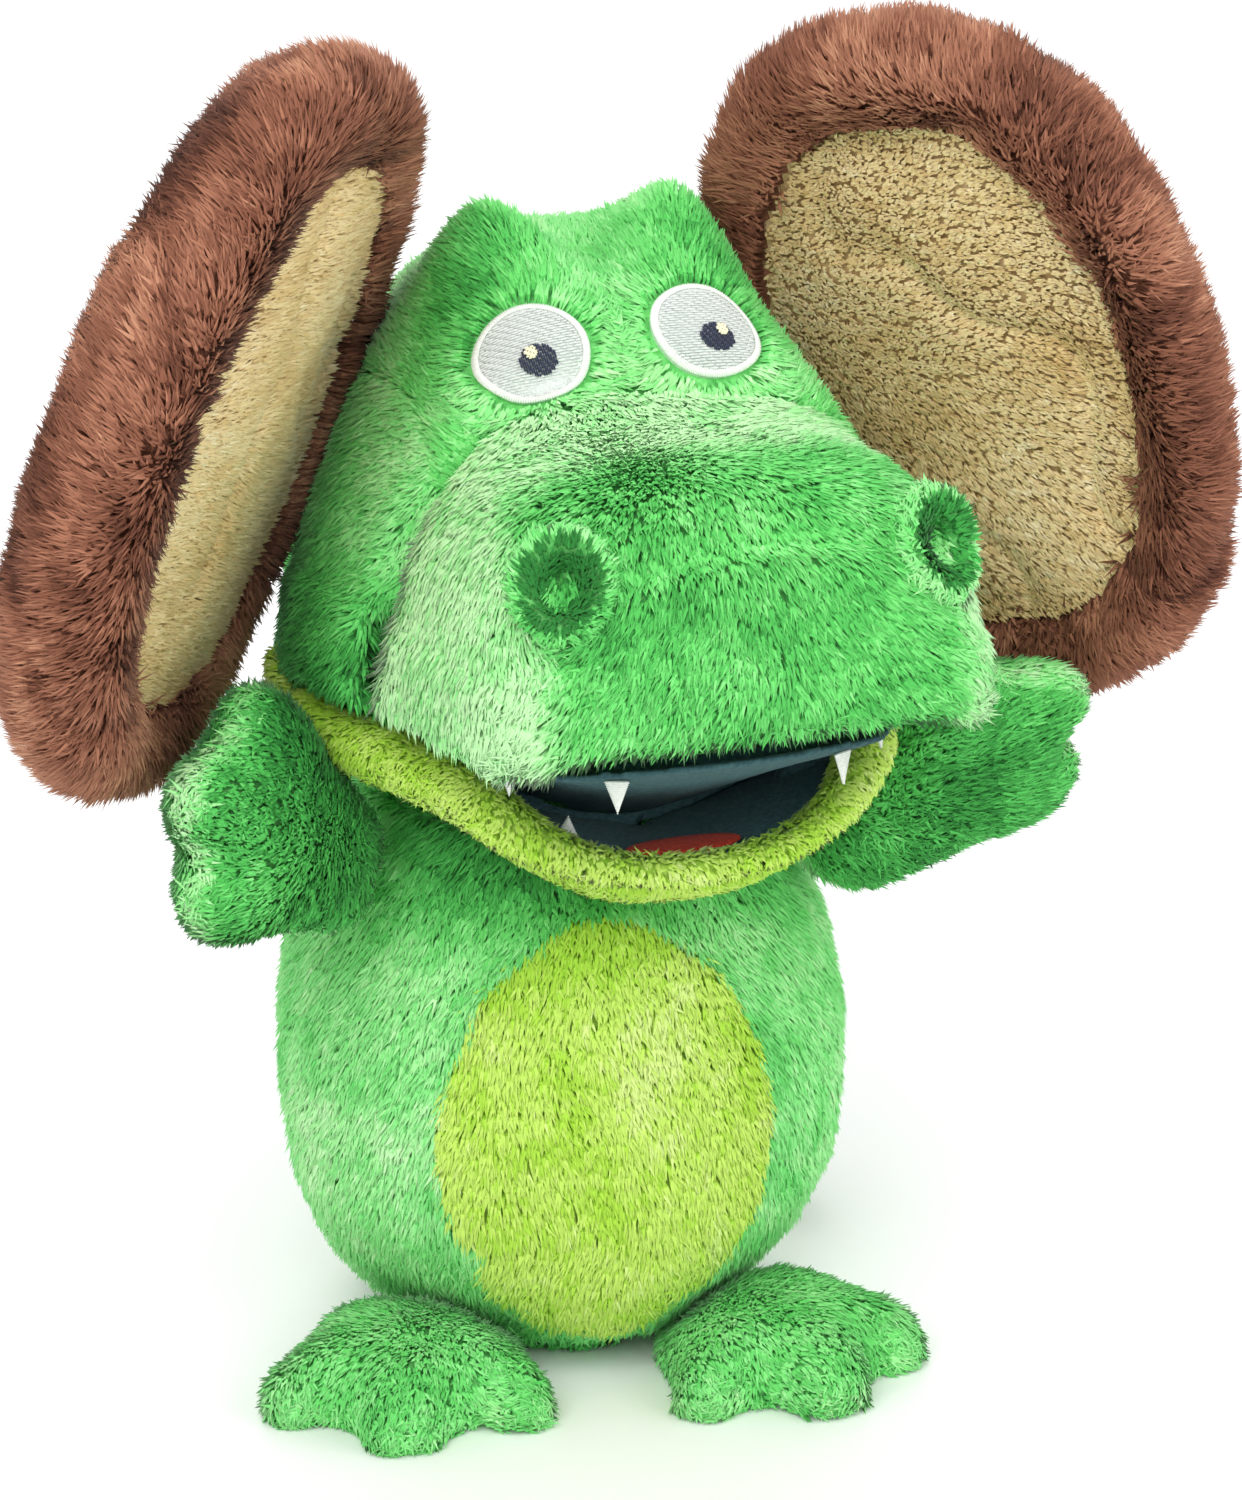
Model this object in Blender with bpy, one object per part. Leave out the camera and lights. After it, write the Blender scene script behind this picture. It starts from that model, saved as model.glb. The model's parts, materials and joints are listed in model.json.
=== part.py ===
"""A plush crocodile hand puppet with large round ears and a mouth that opens.

The body stands on two feet and faces -Y. Fabric panels are thin closed sheets, and the filling behind
them is a solid of its own. Every length below is in millimetres; add_piece turns them into metres.
"""

import math

import bmesh
import bpy
import numpy as np
from mathutils import Matrix, Vector

# Driving dimensions
SHEET = 2.6  # plush fabric with the dense root of its pile
GAP = 0.5  # clearance between a sheet and whatever lies against it
SEAM = 0.2  # half the space left between two sheets at a seam
BODY_WIDTH = 114.0
BODY_TOP = 116.0
BODY_ROWS = 9
BODY_SIDES = 24
NECK_RADIUS = 30.0
NECK_PIVOT = Vector((0.0, 8.0, 122.0))
HEAD_YAW = math.radians(9.0)
HEAD_BACK = -40.0  # forward distances in the head are counted from the neck axis
HEAD_FRONT = 108.0
CREASE = 52.0
MOUTH_FOLD = (44.0, 114.0)  # forward distance and height of the mouth's fold
LIP_FRONT = (100.0, 152.0)
JAW_REACH = 38.0
JAW_HALF_WIDTH = 43.0
EAR_LENGTH = 104.0
EAR_HEIGHT = 146.0
EAR_ROOT = (45.5, -14.0, 187.0)  # sideways, forward and height
EAR_SWEEP = math.radians(49.0)
EAR_LEANS = {"left": 23.0, "right": 18.5}  # degrees tilted towards the crown
SHOULDERS = {"left": (50.0, 24.0, 108.0), "right": (53.5, 19.0, 104.0)}  # sideways, forward, height
ARM_POSES = {"left": (49.0, 29.0, 0.0), "right": (24.0, 37.0, 35.0)}  # degrees swept, raised, twisted
FOOT_ROOTS = {"left": (34.0, 20.0), "right": (29.0, 22.5)}  # sideways, forward
FOOT_SPLAY = {"left": 14.0, "right": 18.0}  # degrees turned outward
TAIL_ROOT = Vector((0.0, 60.0, 30.0))
ARM_THICKNESS = 12.0  # half the arm's greatest thickness
FOOT_SOLE = 2.4
FOOT_HEIGHT = 15.0
LINING_SHEET = 1.0

GREEN = (0.10, 0.55, 0.16)
LIME = (0.35, 0.62, 0.08)
BROWN = (0.22, 0.07, 0.04)
TAN = (0.58, 0.44, 0.21)
NAVY = (0.03, 0.08, 0.12)
WHITE = (0.86, 0.86, 0.82)
RED = (0.55, 0.05, 0.03)
WADDING = (0.80, 0.80, 0.78)
CARD = (0.55, 0.42, 0.28)
LINING = (0.12, 0.13, 0.14)


# Curves -------------------------------------------------------------------------------------------


def through(points, at):
    """A smooth curve through rows of (position, value, ...), read at the given positions."""
    table = np.array(points, float)
    slopes = np.gradient(table[:, 1:], table[:, 0], axis=0)
    at = np.clip(np.atleast_1d(at), table[0, 0], table[-1, 0])
    low = np.clip(np.searchsorted(table[:, 0], at, side="right") - 1, 0, len(table) - 2)
    width = table[low + 1, 0] - table[low, 0]
    t = ((at - table[low, 0]) / width)[:, None]
    width = width[:, None]
    start, end = table[low, 1:], table[low + 1, 1:]
    return (
        (2 * t**3 - 3 * t**2 + 1) * start
        + (t**3 - 2 * t**2 + t) * width * slopes[low]
        + (3 * t**2 - 2 * t**3) * end
        + (t**3 - t**2) * width * slopes[low + 1]
    )


def closed_outline(points, count):
    """A smooth closed outline through the points, as count points evenly spread between them."""
    ring = np.array([*points[-2:], *points, *points[:2]], float)
    places = np.arange(-2, len(points) + 2)
    at = np.arange(count) * len(points) / count
    return through(np.column_stack([places, ring]), at)


def ease(value, low, high):
    """0 below low, 1 above high, and smooth between."""
    t = np.clip((value - low) / (high - low), 0, 1)
    return t * t * (3 - 2 * t)


# Solids -------------------------------------------------------------------------------------------


def add_material(name, colour, roughness):
    material = bpy.data.materials.new(name)
    material.use_nodes = True
    shader = material.node_tree.nodes["Principled BSDF"]
    shader.inputs["Base Color"].default_value = (*colour, 1)
    shader.inputs["Roughness"].default_value = roughness
    shader.inputs["Metallic"].default_value = 0.0
    return material


def add_piece(name, shape, colour, pivot, roughness=0.9):
    """Make one closed solid. Its mesh is measured from the pivot, an empty on its joint's axis."""
    points, faces = shape
    mesh = bpy.data.meshes.new(name)
    mesh.from_pydata([Vector(p) * 0.001 for p in points], [], faces)
    tidy = bmesh.new()
    tidy.from_mesh(mesh)
    bmesh.ops.recalc_face_normals(tidy, faces=tidy.faces)
    tidy.to_mesh(mesh)
    tidy.free()
    mesh.shade_smooth()
    mesh.materials.append(add_material(name, colour, roughness))
    piece = bpy.data.objects.new(name, mesh)
    piece.parent = pivot
    bpy.context.scene.collection.objects.link(piece)
    return piece


def add_pivot(name, matrix):
    pivot = bpy.data.objects.new(name, None)
    pivot.empty_display_size = 0.01
    pivot.matrix_world = matrix
    bpy.context.scene.collection.objects.link(pivot)
    return pivot


def place(point, *turns):
    """A placement: at the point, turned by each (angle, axis letter) in turn."""
    matrix = Matrix.Translation(Vector(point) * 0.001)
    for angle, axis in turns:
        matrix = matrix @ Matrix.Rotation(angle, 4, axis)
    return matrix


def lofted(rings, start=None, end=None):
    """A closed solid through rings of points. With no poles the last ring joins the first."""
    count = len(rings[0])
    points = [tuple(p) for ring in rings for p in ring]
    faces = []
    last = len(rings) if start is None else len(rings) - 1
    for i in range(last):
        a, b = i * count, (i + 1) % len(rings) * count
        for j in range(count):
            k = (j + 1) % count
            faces.append((a + j, a + k, b + k, b + j))
    if start is not None:
        points += [tuple(start), tuple(end)]
        first, second = len(points) - 2, len(points) - 1
        b = (len(rings) - 1) * count
        for j in range(count):
            k = (j + 1) % count
            faces.append((first, k, j))
            faces.append((second, b + j, b + k))
    return points, faces


def slab(outer, inner):
    """A closed sheet between two grids of points of the same size."""
    rows, columns = outer.shape[:2]
    points = [tuple(p) for p in outer.reshape(-1, 3)] + [tuple(p) for p in inner.reshape(-1, 3)]
    half = rows * columns
    faces = []
    for i in range(rows - 1):
        for j in range(columns - 1):
            a = i * columns + j
            quad = (a, a + 1, a + columns + 1, a + columns)
            faces.append(quad)
            faces.append(tuple(half + k for k in reversed(quad)))
    edge = list(range(columns))
    edge += [i * columns + columns - 1 for i in range(1, rows)]
    edge += [(rows - 1) * columns + j for j in range(columns - 2, -1, -1)]
    edge += [i * columns for i in range(rows - 2, 0, -1)]
    for a, b in zip(edge, edge[1:] + edge[:1]):
        faces.append((b, a, a + half, b + half))
    return points, faces


def patch_on(surface, centre, half_width, half_height, low, high, rings=3, count=16):
    """An oval sheet that follows surface(u, v, inset), between the insets low (outer) and high."""
    step = 1e-3
    u, v = centre
    here = surface(u, v, 0)
    along_u = np.linalg.norm(surface(u + step, v, 0) - here) / step
    along_v = np.linalg.norm(surface(u, v + step, 0) - here) / step
    angles = np.arange(count) * 2 * math.pi / count
    fractions = [k / rings for k in range(1, rings + 1)]

    def ring(fraction, inset):
        return [
            surface(
                u + fraction * half_height * math.sin(a) / along_u,
                v + fraction * half_width * math.cos(a) / along_v,
                inset,
            )
            for a in angles
        ]

    outside = [ring(f, low) for f in fractions]
    inside = [ring(f, high) for f in reversed(fractions)]
    return lofted(outside + inside, surface(u, v, low), surface(u, v, high))


def grid(surface, us, vs, inset):
    return np.array([[surface(u, v, inset) for v in vs] for u in us])


def sheet_on(surface, us, vs, inset=0.0, thick=SHEET):
    return slab(grid(surface, us, vs, inset), grid(surface, us, vs, inset + thick))


# Body ---------------------------------------------------------------------------------------------


def body_profile(u):
    """Half-width and height along the body's side, from the base panel (0) to the neck opening (1)."""
    wide = BODY_WIDTH / 2
    outline = (
        (0.00, 0.47 * wide, 0.0),
        (0.10, 0.66 * wide, 4.0),
        (0.22, 0.83 * wide, 14.0),
        (0.36, 0.95 * wide, 30.0),
        (0.52, 1.00 * wide, 52.0),
        (0.66, 0.985 * wide, 72.0),
        (0.80, 0.90 * wide, 90.0),
        (0.91, 0.765 * wide, 105.0),
        (1.00, 0.64 * wide, BODY_TOP),
    )
    return through(outline, u)[0]


def foot_hollow(angle, height):
    """How far the body's side is pressed in where a foot is sewn on."""
    front = (-math.pi / 2 - 0.92, -math.pi / 2 + 0.86)
    turn = [math.remainder(angle - a, 2 * math.pi) for a in front]
    return 7.0 * sum(math.exp(-((t / 0.5) ** 2)) for t in turn) * float(1 - ease(height, 8, 34))


def body_surface(u, v, inset):
    """A point of the body: u runs up the side, v is the angle round it."""
    step = 1e-3
    low, high = body_profile(max(u - step, 0)), body_profile(min(u + step, 1))
    along = (high - low) / np.linalg.norm(high - low)
    radius, height = body_profile(u) + inset * np.array([-along[1], along[0]])
    radius -= foot_hollow(v, height)
    rise = float(ease(height, 50, 112))
    depth = 0.88 + 0.12 * rise
    middle = NECK_PIVOT.y * rise
    return np.array([radius * math.cos(v), middle + depth * radius * math.sin(v), max(height, 0.0)])


def make_body(pivot):
    us = np.linspace(0.03, 1, BODY_ROWS)
    turn = SEAM / 50
    front = np.linspace(math.pi + turn, 2 * math.pi - turn, BODY_SIDES // 2 + 1)
    back = np.linspace(turn, math.pi - turn, BODY_SIDES // 2 + 1)
    add_piece("body_front_skin", sheet_on(body_surface, us, front), GREEN, pivot)
    add_piece("body_back_skin", sheet_on(body_surface, us, back), GREEN, pivot)
    belly = patch_on(body_surface, (0.535, 1.5 * math.pi), 36, 50, -2.6, -1.1, rings=3, count=16)
    add_piece("belly_patch", belly, LIME, pivot)

    angles = np.arange(BODY_SIDES) * 2 * math.pi / BODY_SIDES
    base_radius = 0.47 * BODY_WIDTH / 2 - SHEET - 1.5

    def disc(radius, height):
        return [(radius * math.cos(a), 0.88 * radius * math.sin(a), height) for a in angles]

    base = [disc(base_radius, 0.0), disc(base_radius, SHEET)]
    add_piece("body_base_panel", lofted(base, (0, 0, 0), (0, 0, SHEET)), GREEN, pivot)

    bag_radius, bag_top = 0.82 * base_radius, 16.0
    bag_base = SHEET + GAP
    bag_side = ((0.85, bag_base), (1, 7.0), (0.95, 12.0), (0.6, bag_top))
    bag = [disc(fraction * bag_radius, height) for fraction, height in bag_side]
    add_piece("pellet_bag", lofted(bag, (0, 0, bag_base), (0, 0, bag_top)), WADDING, pivot)

    sides = [u for u in np.linspace(0.03, 1, BODY_ROWS) if 6 < body_profile(u)[1] < 104]
    filling = [[body_surface(u, a, SHEET + 2 * GAP) for a in angles] for u in sides]
    recess = [disc(bag_radius + 1, h) for h in (bag_top + GAP, bag_base)]
    low = disc(bag_radius + 2.5, bag_base)
    top_height = 103.0
    top = [(x, y + NECK_PIVOT.y, z) for x, y, z in disc(NECK_RADIUS - 5, top_height)]
    rings = [*recess, low, *filling, top]
    shape = lofted(rings, (0, 0, bag_top + GAP), (0, NECK_PIVOT.y, top_height))
    add_piece("body_stuffing", shape, WADDING, pivot)


# Neck ---------------------------------------------------------------------------------------------


def ball_ring(radius, height, count=20):
    """A level ring on a ball round the neck's pivot, at a height above the pivot."""
    across = math.sqrt(radius**2 - height**2)
    angles = np.arange(count) * 2 * math.pi / count
    return [(across * math.cos(a), across * math.sin(a), height) for a in angles]


def make_neck(pivot):
    heights = (-14.0, -7.0, 0.0, 6.0, 12.0, 17.0)
    inner = NECK_RADIUS - SHEET
    outside = [ball_ring(NECK_RADIUS, h) for h in heights]
    inside = [ball_ring(inner, h * inner / NECK_RADIUS) for h in reversed(heights)]
    add_piece("neck_skin", lofted(outside + inside), GREEN, pivot)
    core = inner - GAP
    heights = (-17.0, -12.0, -4.0, 4.0, 11.0, 16.0)
    rings = [ball_ring(core, h) for h in heights]
    shape = lofted(rings, (0, 0, heights[0]), (0, 0, heights[-1]))
    add_piece("neck_stuffing", shape, WADDING, pivot)


# Head ---------------------------------------------------------------------------------------------

HEAD_STATIONS = (  # forward, top, bottom, half-width above, half-width below, squareness
    (-40.0, 198.0, 146.0, 38.0, 41.0, 2.6),
    (-33.0, 210.0, 140.0, 42.0, 44.0, 2.5),
    (-20.0, 221.0, 135.0, 44.0, 48.0, 2.4),
    (0.0, 227.0, 139.0, 46.0, 57.0, 2.3),
    (17.0, 227.0, 146.0, 45.0, 61.0, 2.3),
    (32.0, 224.0, 149.0, 44.0, 61.0, 2.4),
    (44.0, 216.0, 149.5, 46.0, 58.0, 2.6),
    (54.0, 205.0, 149.5, 49.0, 54.0, 2.9),
    (66.0, 202.0, 149.0, 50.0, 51.0, 3.1),
    (82.0, 202.0, 150.0, 49.0, 50.0, 3.2),
    (96.0, 199.0, 151.0, 47.0, 49.0, 3.1),
    (104.0, 188.0, 152.0, 43.0, 45.0, 2.9),
    (107.5, 172.0, 153.0, 38.0, 40.0, 2.6),
    (108.0, 156.0, 154.5, 36.0, 38.0, 2.4),
)
BROW = (21.0, 16.0, 13.0)  # sideways, forward and height of each brow bump


def arch(forward, v):
    """A point of the head's outer surface: v runs over the arch, left (0) to right (1)."""
    top, bottom, above, below, square = through(HEAD_STATIONS, forward)[0]
    angle = math.pi * (1 - v)
    up = max(math.sin(angle), 0.0) ** (2 / square)
    across = math.cos(angle)
    out = math.copysign(abs(across) ** (2 / square), across)
    x = out * (below + (above - below) * up)
    z = bottom + (top - bottom) * up
    for side in (-1, 1):
        apart = ((x - side * BROW[0]) / 10) ** 2 + ((forward - BROW[1]) / 13) ** 2
        z += BROW[2] * math.exp(-apart) * float(ease(z, 190, 215))
    return np.array([x, -forward, z])


def head_surface(u, v, inset):
    """A point of the head at a forward distance u, moved in along the surface's normal."""
    point = arch(u, v)
    if inset:
        du, dv = 1.0, 0.02
        low, high = max(u - du, HEAD_BACK), min(u + du, HEAD_FRONT)
        left, right = max(v - dv, 0.0), min(v + dv, 1.0)
        normal = np.cross(arch(high, v) - arch(low, v), arch(u, right) - arch(u, left))
        length = np.linalg.norm(normal)
        point = point - normal * (inset / length)
    return point - np.array(NECK_PIVOT) + np.array([0, NECK_PIVOT.y, 0])


def sleeve_point(forward, v, grow=0.0):
    """A point of the passage for the hand: a low arch that runs forward from the back opening."""
    half, low, high = 34.0 + grow, 149.5, 190.0 + grow
    angle = math.pi * (1 - v)
    across = math.cos(angle)
    x = half * math.copysign(abs(across) ** 0.6, across)
    z = low + (high - low) * max(math.sin(angle), 0.0) ** 0.6
    return np.array([x, -forward, z - NECK_PIVOT.z])


def head_panels(pivot):
    low, high = 0.23, 0.77
    seam_v = SEAM / 75
    back = np.array([-39, -33, -24, -12, 0, 9, 17, 25, 33, 41, 47, CREASE - SEAM])
    over = np.linspace(low + seam_v, high - seam_v, 12)
    add_piece("crown_skin", sheet_on(head_surface, back, over), GREEN, pivot)
    left = np.linspace(0.0, low - seam_v, 5)
    right = np.linspace(high + seam_v, 1.0, 5)
    add_piece("cheek_left", sheet_on(head_surface, back[::2], left), GREEN, pivot)
    add_piece("cheek_right", sheet_on(head_surface, back[::2], right), GREEN, pivot)
    sides = np.array([CREASE + SEAM, 60, 72, 86, 95])
    face = np.array([100, 104, 106.5, 107.6, HEAD_FRONT])
    full = np.linspace(0.0, 1.0, 16)
    lip = np.array([0.0, SHEET, LIP_FRONT[1] - NECK_PIVOT.z])
    shrink = np.array([1 - SHEET / 48, 1.0, 1 - SHEET / 46])
    face_outer = grid(head_surface, face, full, 0.0)
    face_inner = lip + (face_outer - [0, 0, lip[2]]) * shrink
    outer = np.concatenate([grid(head_surface, sides, full, 0.0), face_outer])
    inner = np.concatenate([grid(head_surface, sides, full, SHEET), face_inner])
    add_piece("snout_skin", slab(outer, inner), GREEN, pivot)


def head_filling(pivot):
    """Wadding over and beside the hand's passage, and over the finger pocket in the snout."""
    stations = np.array([-37, -30, -18, -4, 8, 20, 32, 42, CREASE - 2])
    over = np.linspace(0.06, 0.94, 13)
    outer = grid(head_surface, stations, over, SHEET + 4 * GAP)
    inner = np.array([[sleeve_point(d, v, 2.4) for v in over] for d in stations])
    add_piece("head_stuffing", slab(outer, inner), WADDING, pivot)
    stations = np.array([CREASE + 2, 62, 74, 86, 95, 98])
    outer = grid(head_surface, stations, over, SHEET + 1.5)
    inner = np.array([[finger_point(d, v) for v in over] for d in stations])
    add_piece("snout_stuffing", slab(outer, inner), WADDING, pivot)


def finger_point(forward, v):
    """The underside of the snout's filling, a flat arch over the fingers."""
    half = 35.0 - 8.0 * float(ease(forward, 70, 100))
    angle = math.pi * (1 - v)
    across = math.cos(angle)
    x = half * math.copysign(abs(across) ** 0.5, across)
    z = 156.0 + (181.0 - 156.0) * max(math.sin(angle), 0.0) ** 0.5
    return np.array([x, -forward, z - NECK_PIVOT.z])


def hand_linings(pivot):
    over = np.linspace(0.0, 1.0, 11)
    stations = np.array([-38.5, -10, 20])
    outer = np.array([[sleeve_point(d, v, 1.8) for v in over] for d in stations])
    inner = np.array([[sleeve_point(d, v, 0.8) for v in over] for d in stations])
    add_piece("hand_sleeve", slab(outer, inner), LINING, pivot)

    count = 14
    angles = np.arange(count) * 2 * math.pi / count

    def oval(forward, width, low, high):
        middle, tall = (low + high) / 2, (high - low) / 2
        ring = []
        for a in angles:
            out = math.copysign(abs(math.cos(a)) ** 0.7, math.cos(a))
            up = math.copysign(abs(math.sin(a)) ** 0.7, math.sin(a))
            ring.append((width * out, -forward, middle + tall * up - NECK_PIVOT.z))
        return ring

    thin = LINING_SHEET
    pocket = (  # forward, half-width, bottom, top
        (50.0, 31.0, 157.5, 178.5),
        (66.0, 31.0, 157.5, 178.5),
        (82.0, 27.0, 160.0, 177.0),
        (92.0, 18.0, 164.0, 175.0),
    )
    outside = [oval(*ring) for ring in pocket]
    inside = []
    for number, (forward, width, low, high) in enumerate(pocket):
        inside.append(oval(forward - thin * number, width - thin, low + thin, high - thin))
    middle = 169.5 - NECK_PIVOT.z
    shape = lofted([*reversed(inside), *outside], (0, -90.0 + thin, middle), (0, -93.0, middle))
    add_piece("finger_pocket", shape, LINING, pivot)


def base_of_head(pivot):
    """The panel under the head, with a round hole that the neck turns and nods in."""
    count = 24
    angles = np.arange(count) * 2 * math.pi / count
    hole = NECK_RADIUS + 2.5

    def edge(a, height):
        reach = (abs(math.cos(a)) / 46.0) ** 3 + (abs(math.sin(a)) / 37.5) ** 3
        size = reach ** (-1 / 3)
        return (size * math.cos(a), size * math.sin(a), height)

    def rim(a, height):
        return (hole * math.cos(a), hole * math.sin(a), height)

    low, high = 9.5, 11.5
    rings = [
        [rim(a, low) for a in angles],
        [edge(a, low + 2) for a in angles],
        [edge(a, high + 2) for a in angles],
        [rim(a, high) for a in angles],
    ]
    add_piece("head_base_panel", lofted(rings), GREEN, pivot)


def opening_binding(pivot):
    """The bound hem round the hand opening at the back of the head."""
    forward = HEAD_BACK - 1.0
    path = np.linspace(0.0, 1.0, 15)
    rows = []
    for size in (0.8, 3.2):
        outline = [sleeve_point(forward, v, size) for v in path]
        rows.append(np.array(outline))
    front = np.stack(rows)
    back = front + np.array([0.0, 1.8, 0.0])
    add_piece("opening_binding", slab(front, back), LINING, pivot)


def face_details(pivot):
    for side, name in ((-1, "left"), (1, "right")):
        eye_v = 0.492 + side * 0.103
        centre = (43.0, eye_v)
        eye = patch_on(head_surface, centre, 11.4, 10.6, -1.6, -0.4, rings=2, count=18)
        add_piece(f"eye_{name}", eye, WHITE, pivot, 0.6)
        centre = (45.8, eye_v + 0.004)
        pupil = patch_on(head_surface, centre, 3.8, 3.4, -2.6, -1.9, rings=2, count=12)
        add_piece(f"pupil_{name}", pupil, NAVY, pivot, 0.5)
        add_piece(f"nostril_{name}", nostril(side), GREEN, pivot)


def nostril(side):
    """A curled flap on the snout's upper corner: a short thick ring, open to the front."""
    count = 14
    rings = []
    centre = np.array([side * 34.0, -99.5, 184.5 - NECK_PIVOT.z])
    out = np.array([side * 0.42, -0.80, 0.42])
    out /= np.linalg.norm(out)
    across = np.cross(out, (0, 0, 1))
    across /= np.linalg.norm(across)
    up = np.cross(across, out)
    for radius, reach in ((8.5, 3.6), (10.5, 7.0), (7.5, 10.0), (4.4, 7.5), (4.0, 4.6)):
        ring = []
        for k in range(count):
            a = 2 * math.pi * k / count
            offset = radius * (math.cos(a) * across + 1.15 * math.sin(a) * up)
            ring.append(tuple(centre + offset + reach * out))
        rings.append(ring)
    return lofted(rings)


# Mouth --------------------------------------------------------------------------------------------


def roof_height(x, forward):
    """The felt's height in the upper half of the mouth: low at the fold, high at the lips."""
    fold, low = MOUTH_FOLD
    front, high = LIP_FRONT
    middle = low + 4.5 + (high - low - 8.5) * (forward - fold) / (front - fold)
    side = np.clip(abs(x) / 44.0, 0, 1) ** 2
    return middle + (high - 4 - middle) * side


def mouth_half_width(forward, widest, front):
    """Half the width of the mouth's D-shaped outline at a forward distance."""
    fold = MOUTH_FOLD[0]
    t = np.clip((forward - fold) / (front - fold), 0, 1)
    return widest * (1 - t**3.2) ** (1 / 2.2)


def roof_sheet(low, high, widest, front, columns=9):
    """A sheet of the mouth's roof, between two heights above the felt's surface."""
    fold = MOUTH_FOLD[0] + 1.0
    outer, inner = [], []
    for d in np.linspace(fold, front, 6):
        half = max(mouth_half_width(d, widest, front), 8.0)
        row = [(x, roof_height(x, d)) for x in np.linspace(-half, half, columns)]
        outer.append([(x, -d, z + low - NECK_PIVOT.z) for x, z in row])
        inner.append([(x, -d, z + high - NECK_PIVOT.z) for x, z in row])
    return slab(np.array(outer), np.array(inner))


def upper_mouth(pivot):
    front = LIP_FRONT[0]
    add_piece("upper_mouth_lining", roof_sheet(0.0, 1.6, 42.0, front), NAVY, pivot)
    add_piece("upper_mouth_plate", roof_sheet(2.8, 4.6, 26.0, front - 8, 5), CARD, pivot)
    for number, (x, forward) in enumerate(((-38, 76), (-24, 92), (24, 92), (38, 76)), 1):
        add_piece(f"tooth_upper_{number}", tooth(x, forward), WHITE, pivot, 0.6)


def tooth(x, forward):
    """A small stitched point on the felt, hanging down just inside the upper lip."""
    top = roof_height(x, forward) - 1.0 - NECK_PIVOT.z
    half, drop, thick = 2.4, 6.0, 1.0
    turn = math.radians(-0.9 * x)
    along = np.array([math.cos(turn), -math.sin(turn) * 0.6, 0.0])
    centre = np.array([x, -forward, top])
    back = centre + np.array([0.0, thick, 0.0])
    tip = np.array([0.0, -1.0, -drop])
    front_face = [centre - half * along, centre + half * along, centre + tip]
    back_face = [back - half * along, back + half * along, back + tip]
    points = [tuple(p) for p in front_face + back_face]
    faces = [(0, 1, 2), (5, 4, 3), (0, 3, 4, 1), (1, 4, 5, 2), (2, 5, 3, 0)]
    return points, faces


def lip_bands(pivot):
    """The lime bands that carry the lower lip back along the cheeks to the neck."""
    for side, name in ((-1, "left"), (1, "right")):
        rings = []
        for t in np.linspace(0, 1, 6):
            d = 12.0 + (MOUTH_FOLD[0] - 17.0) * t
            centre_x = side * (59.5 - 8.5 * t**2)
            height = 141.0 - 4.0 * t - NECK_PIVOT.z
            thick = 3.4 if 0 < t < 1 else 2.4
            ring = []
            for k in range(8):
                a = 2 * math.pi * k / 8
                ring.append((centre_x + thick * math.cos(a), -d, height + 1.1 * thick * math.sin(a)))
            rings.append(ring)
        start = np.mean(rings[0], axis=0)
        end = np.mean(rings[-1], axis=0)
        add_piece(f"lip_band_{name}", lofted(rings, start, end), LIME, pivot)


def jaw_point(turn, across, drop=0.0):
    """A point of the jaw, measured from the fold. turn runs round the lip, across to its middle."""
    side, ahead = math.sin(turn), math.cos(turn)
    half = JAW_HALF_WIDTH * (1 - across)
    rim = 5.5 + 16.0 * abs(side) ** 2.6 * (1 - across) ** 1.5
    reach = 2.0 + (JAW_REACH - 2.0) * (1 - across) * abs(ahead) ** 0.7
    return np.array([half * side, -reach, rim + 0.09 * reach - drop])


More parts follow.
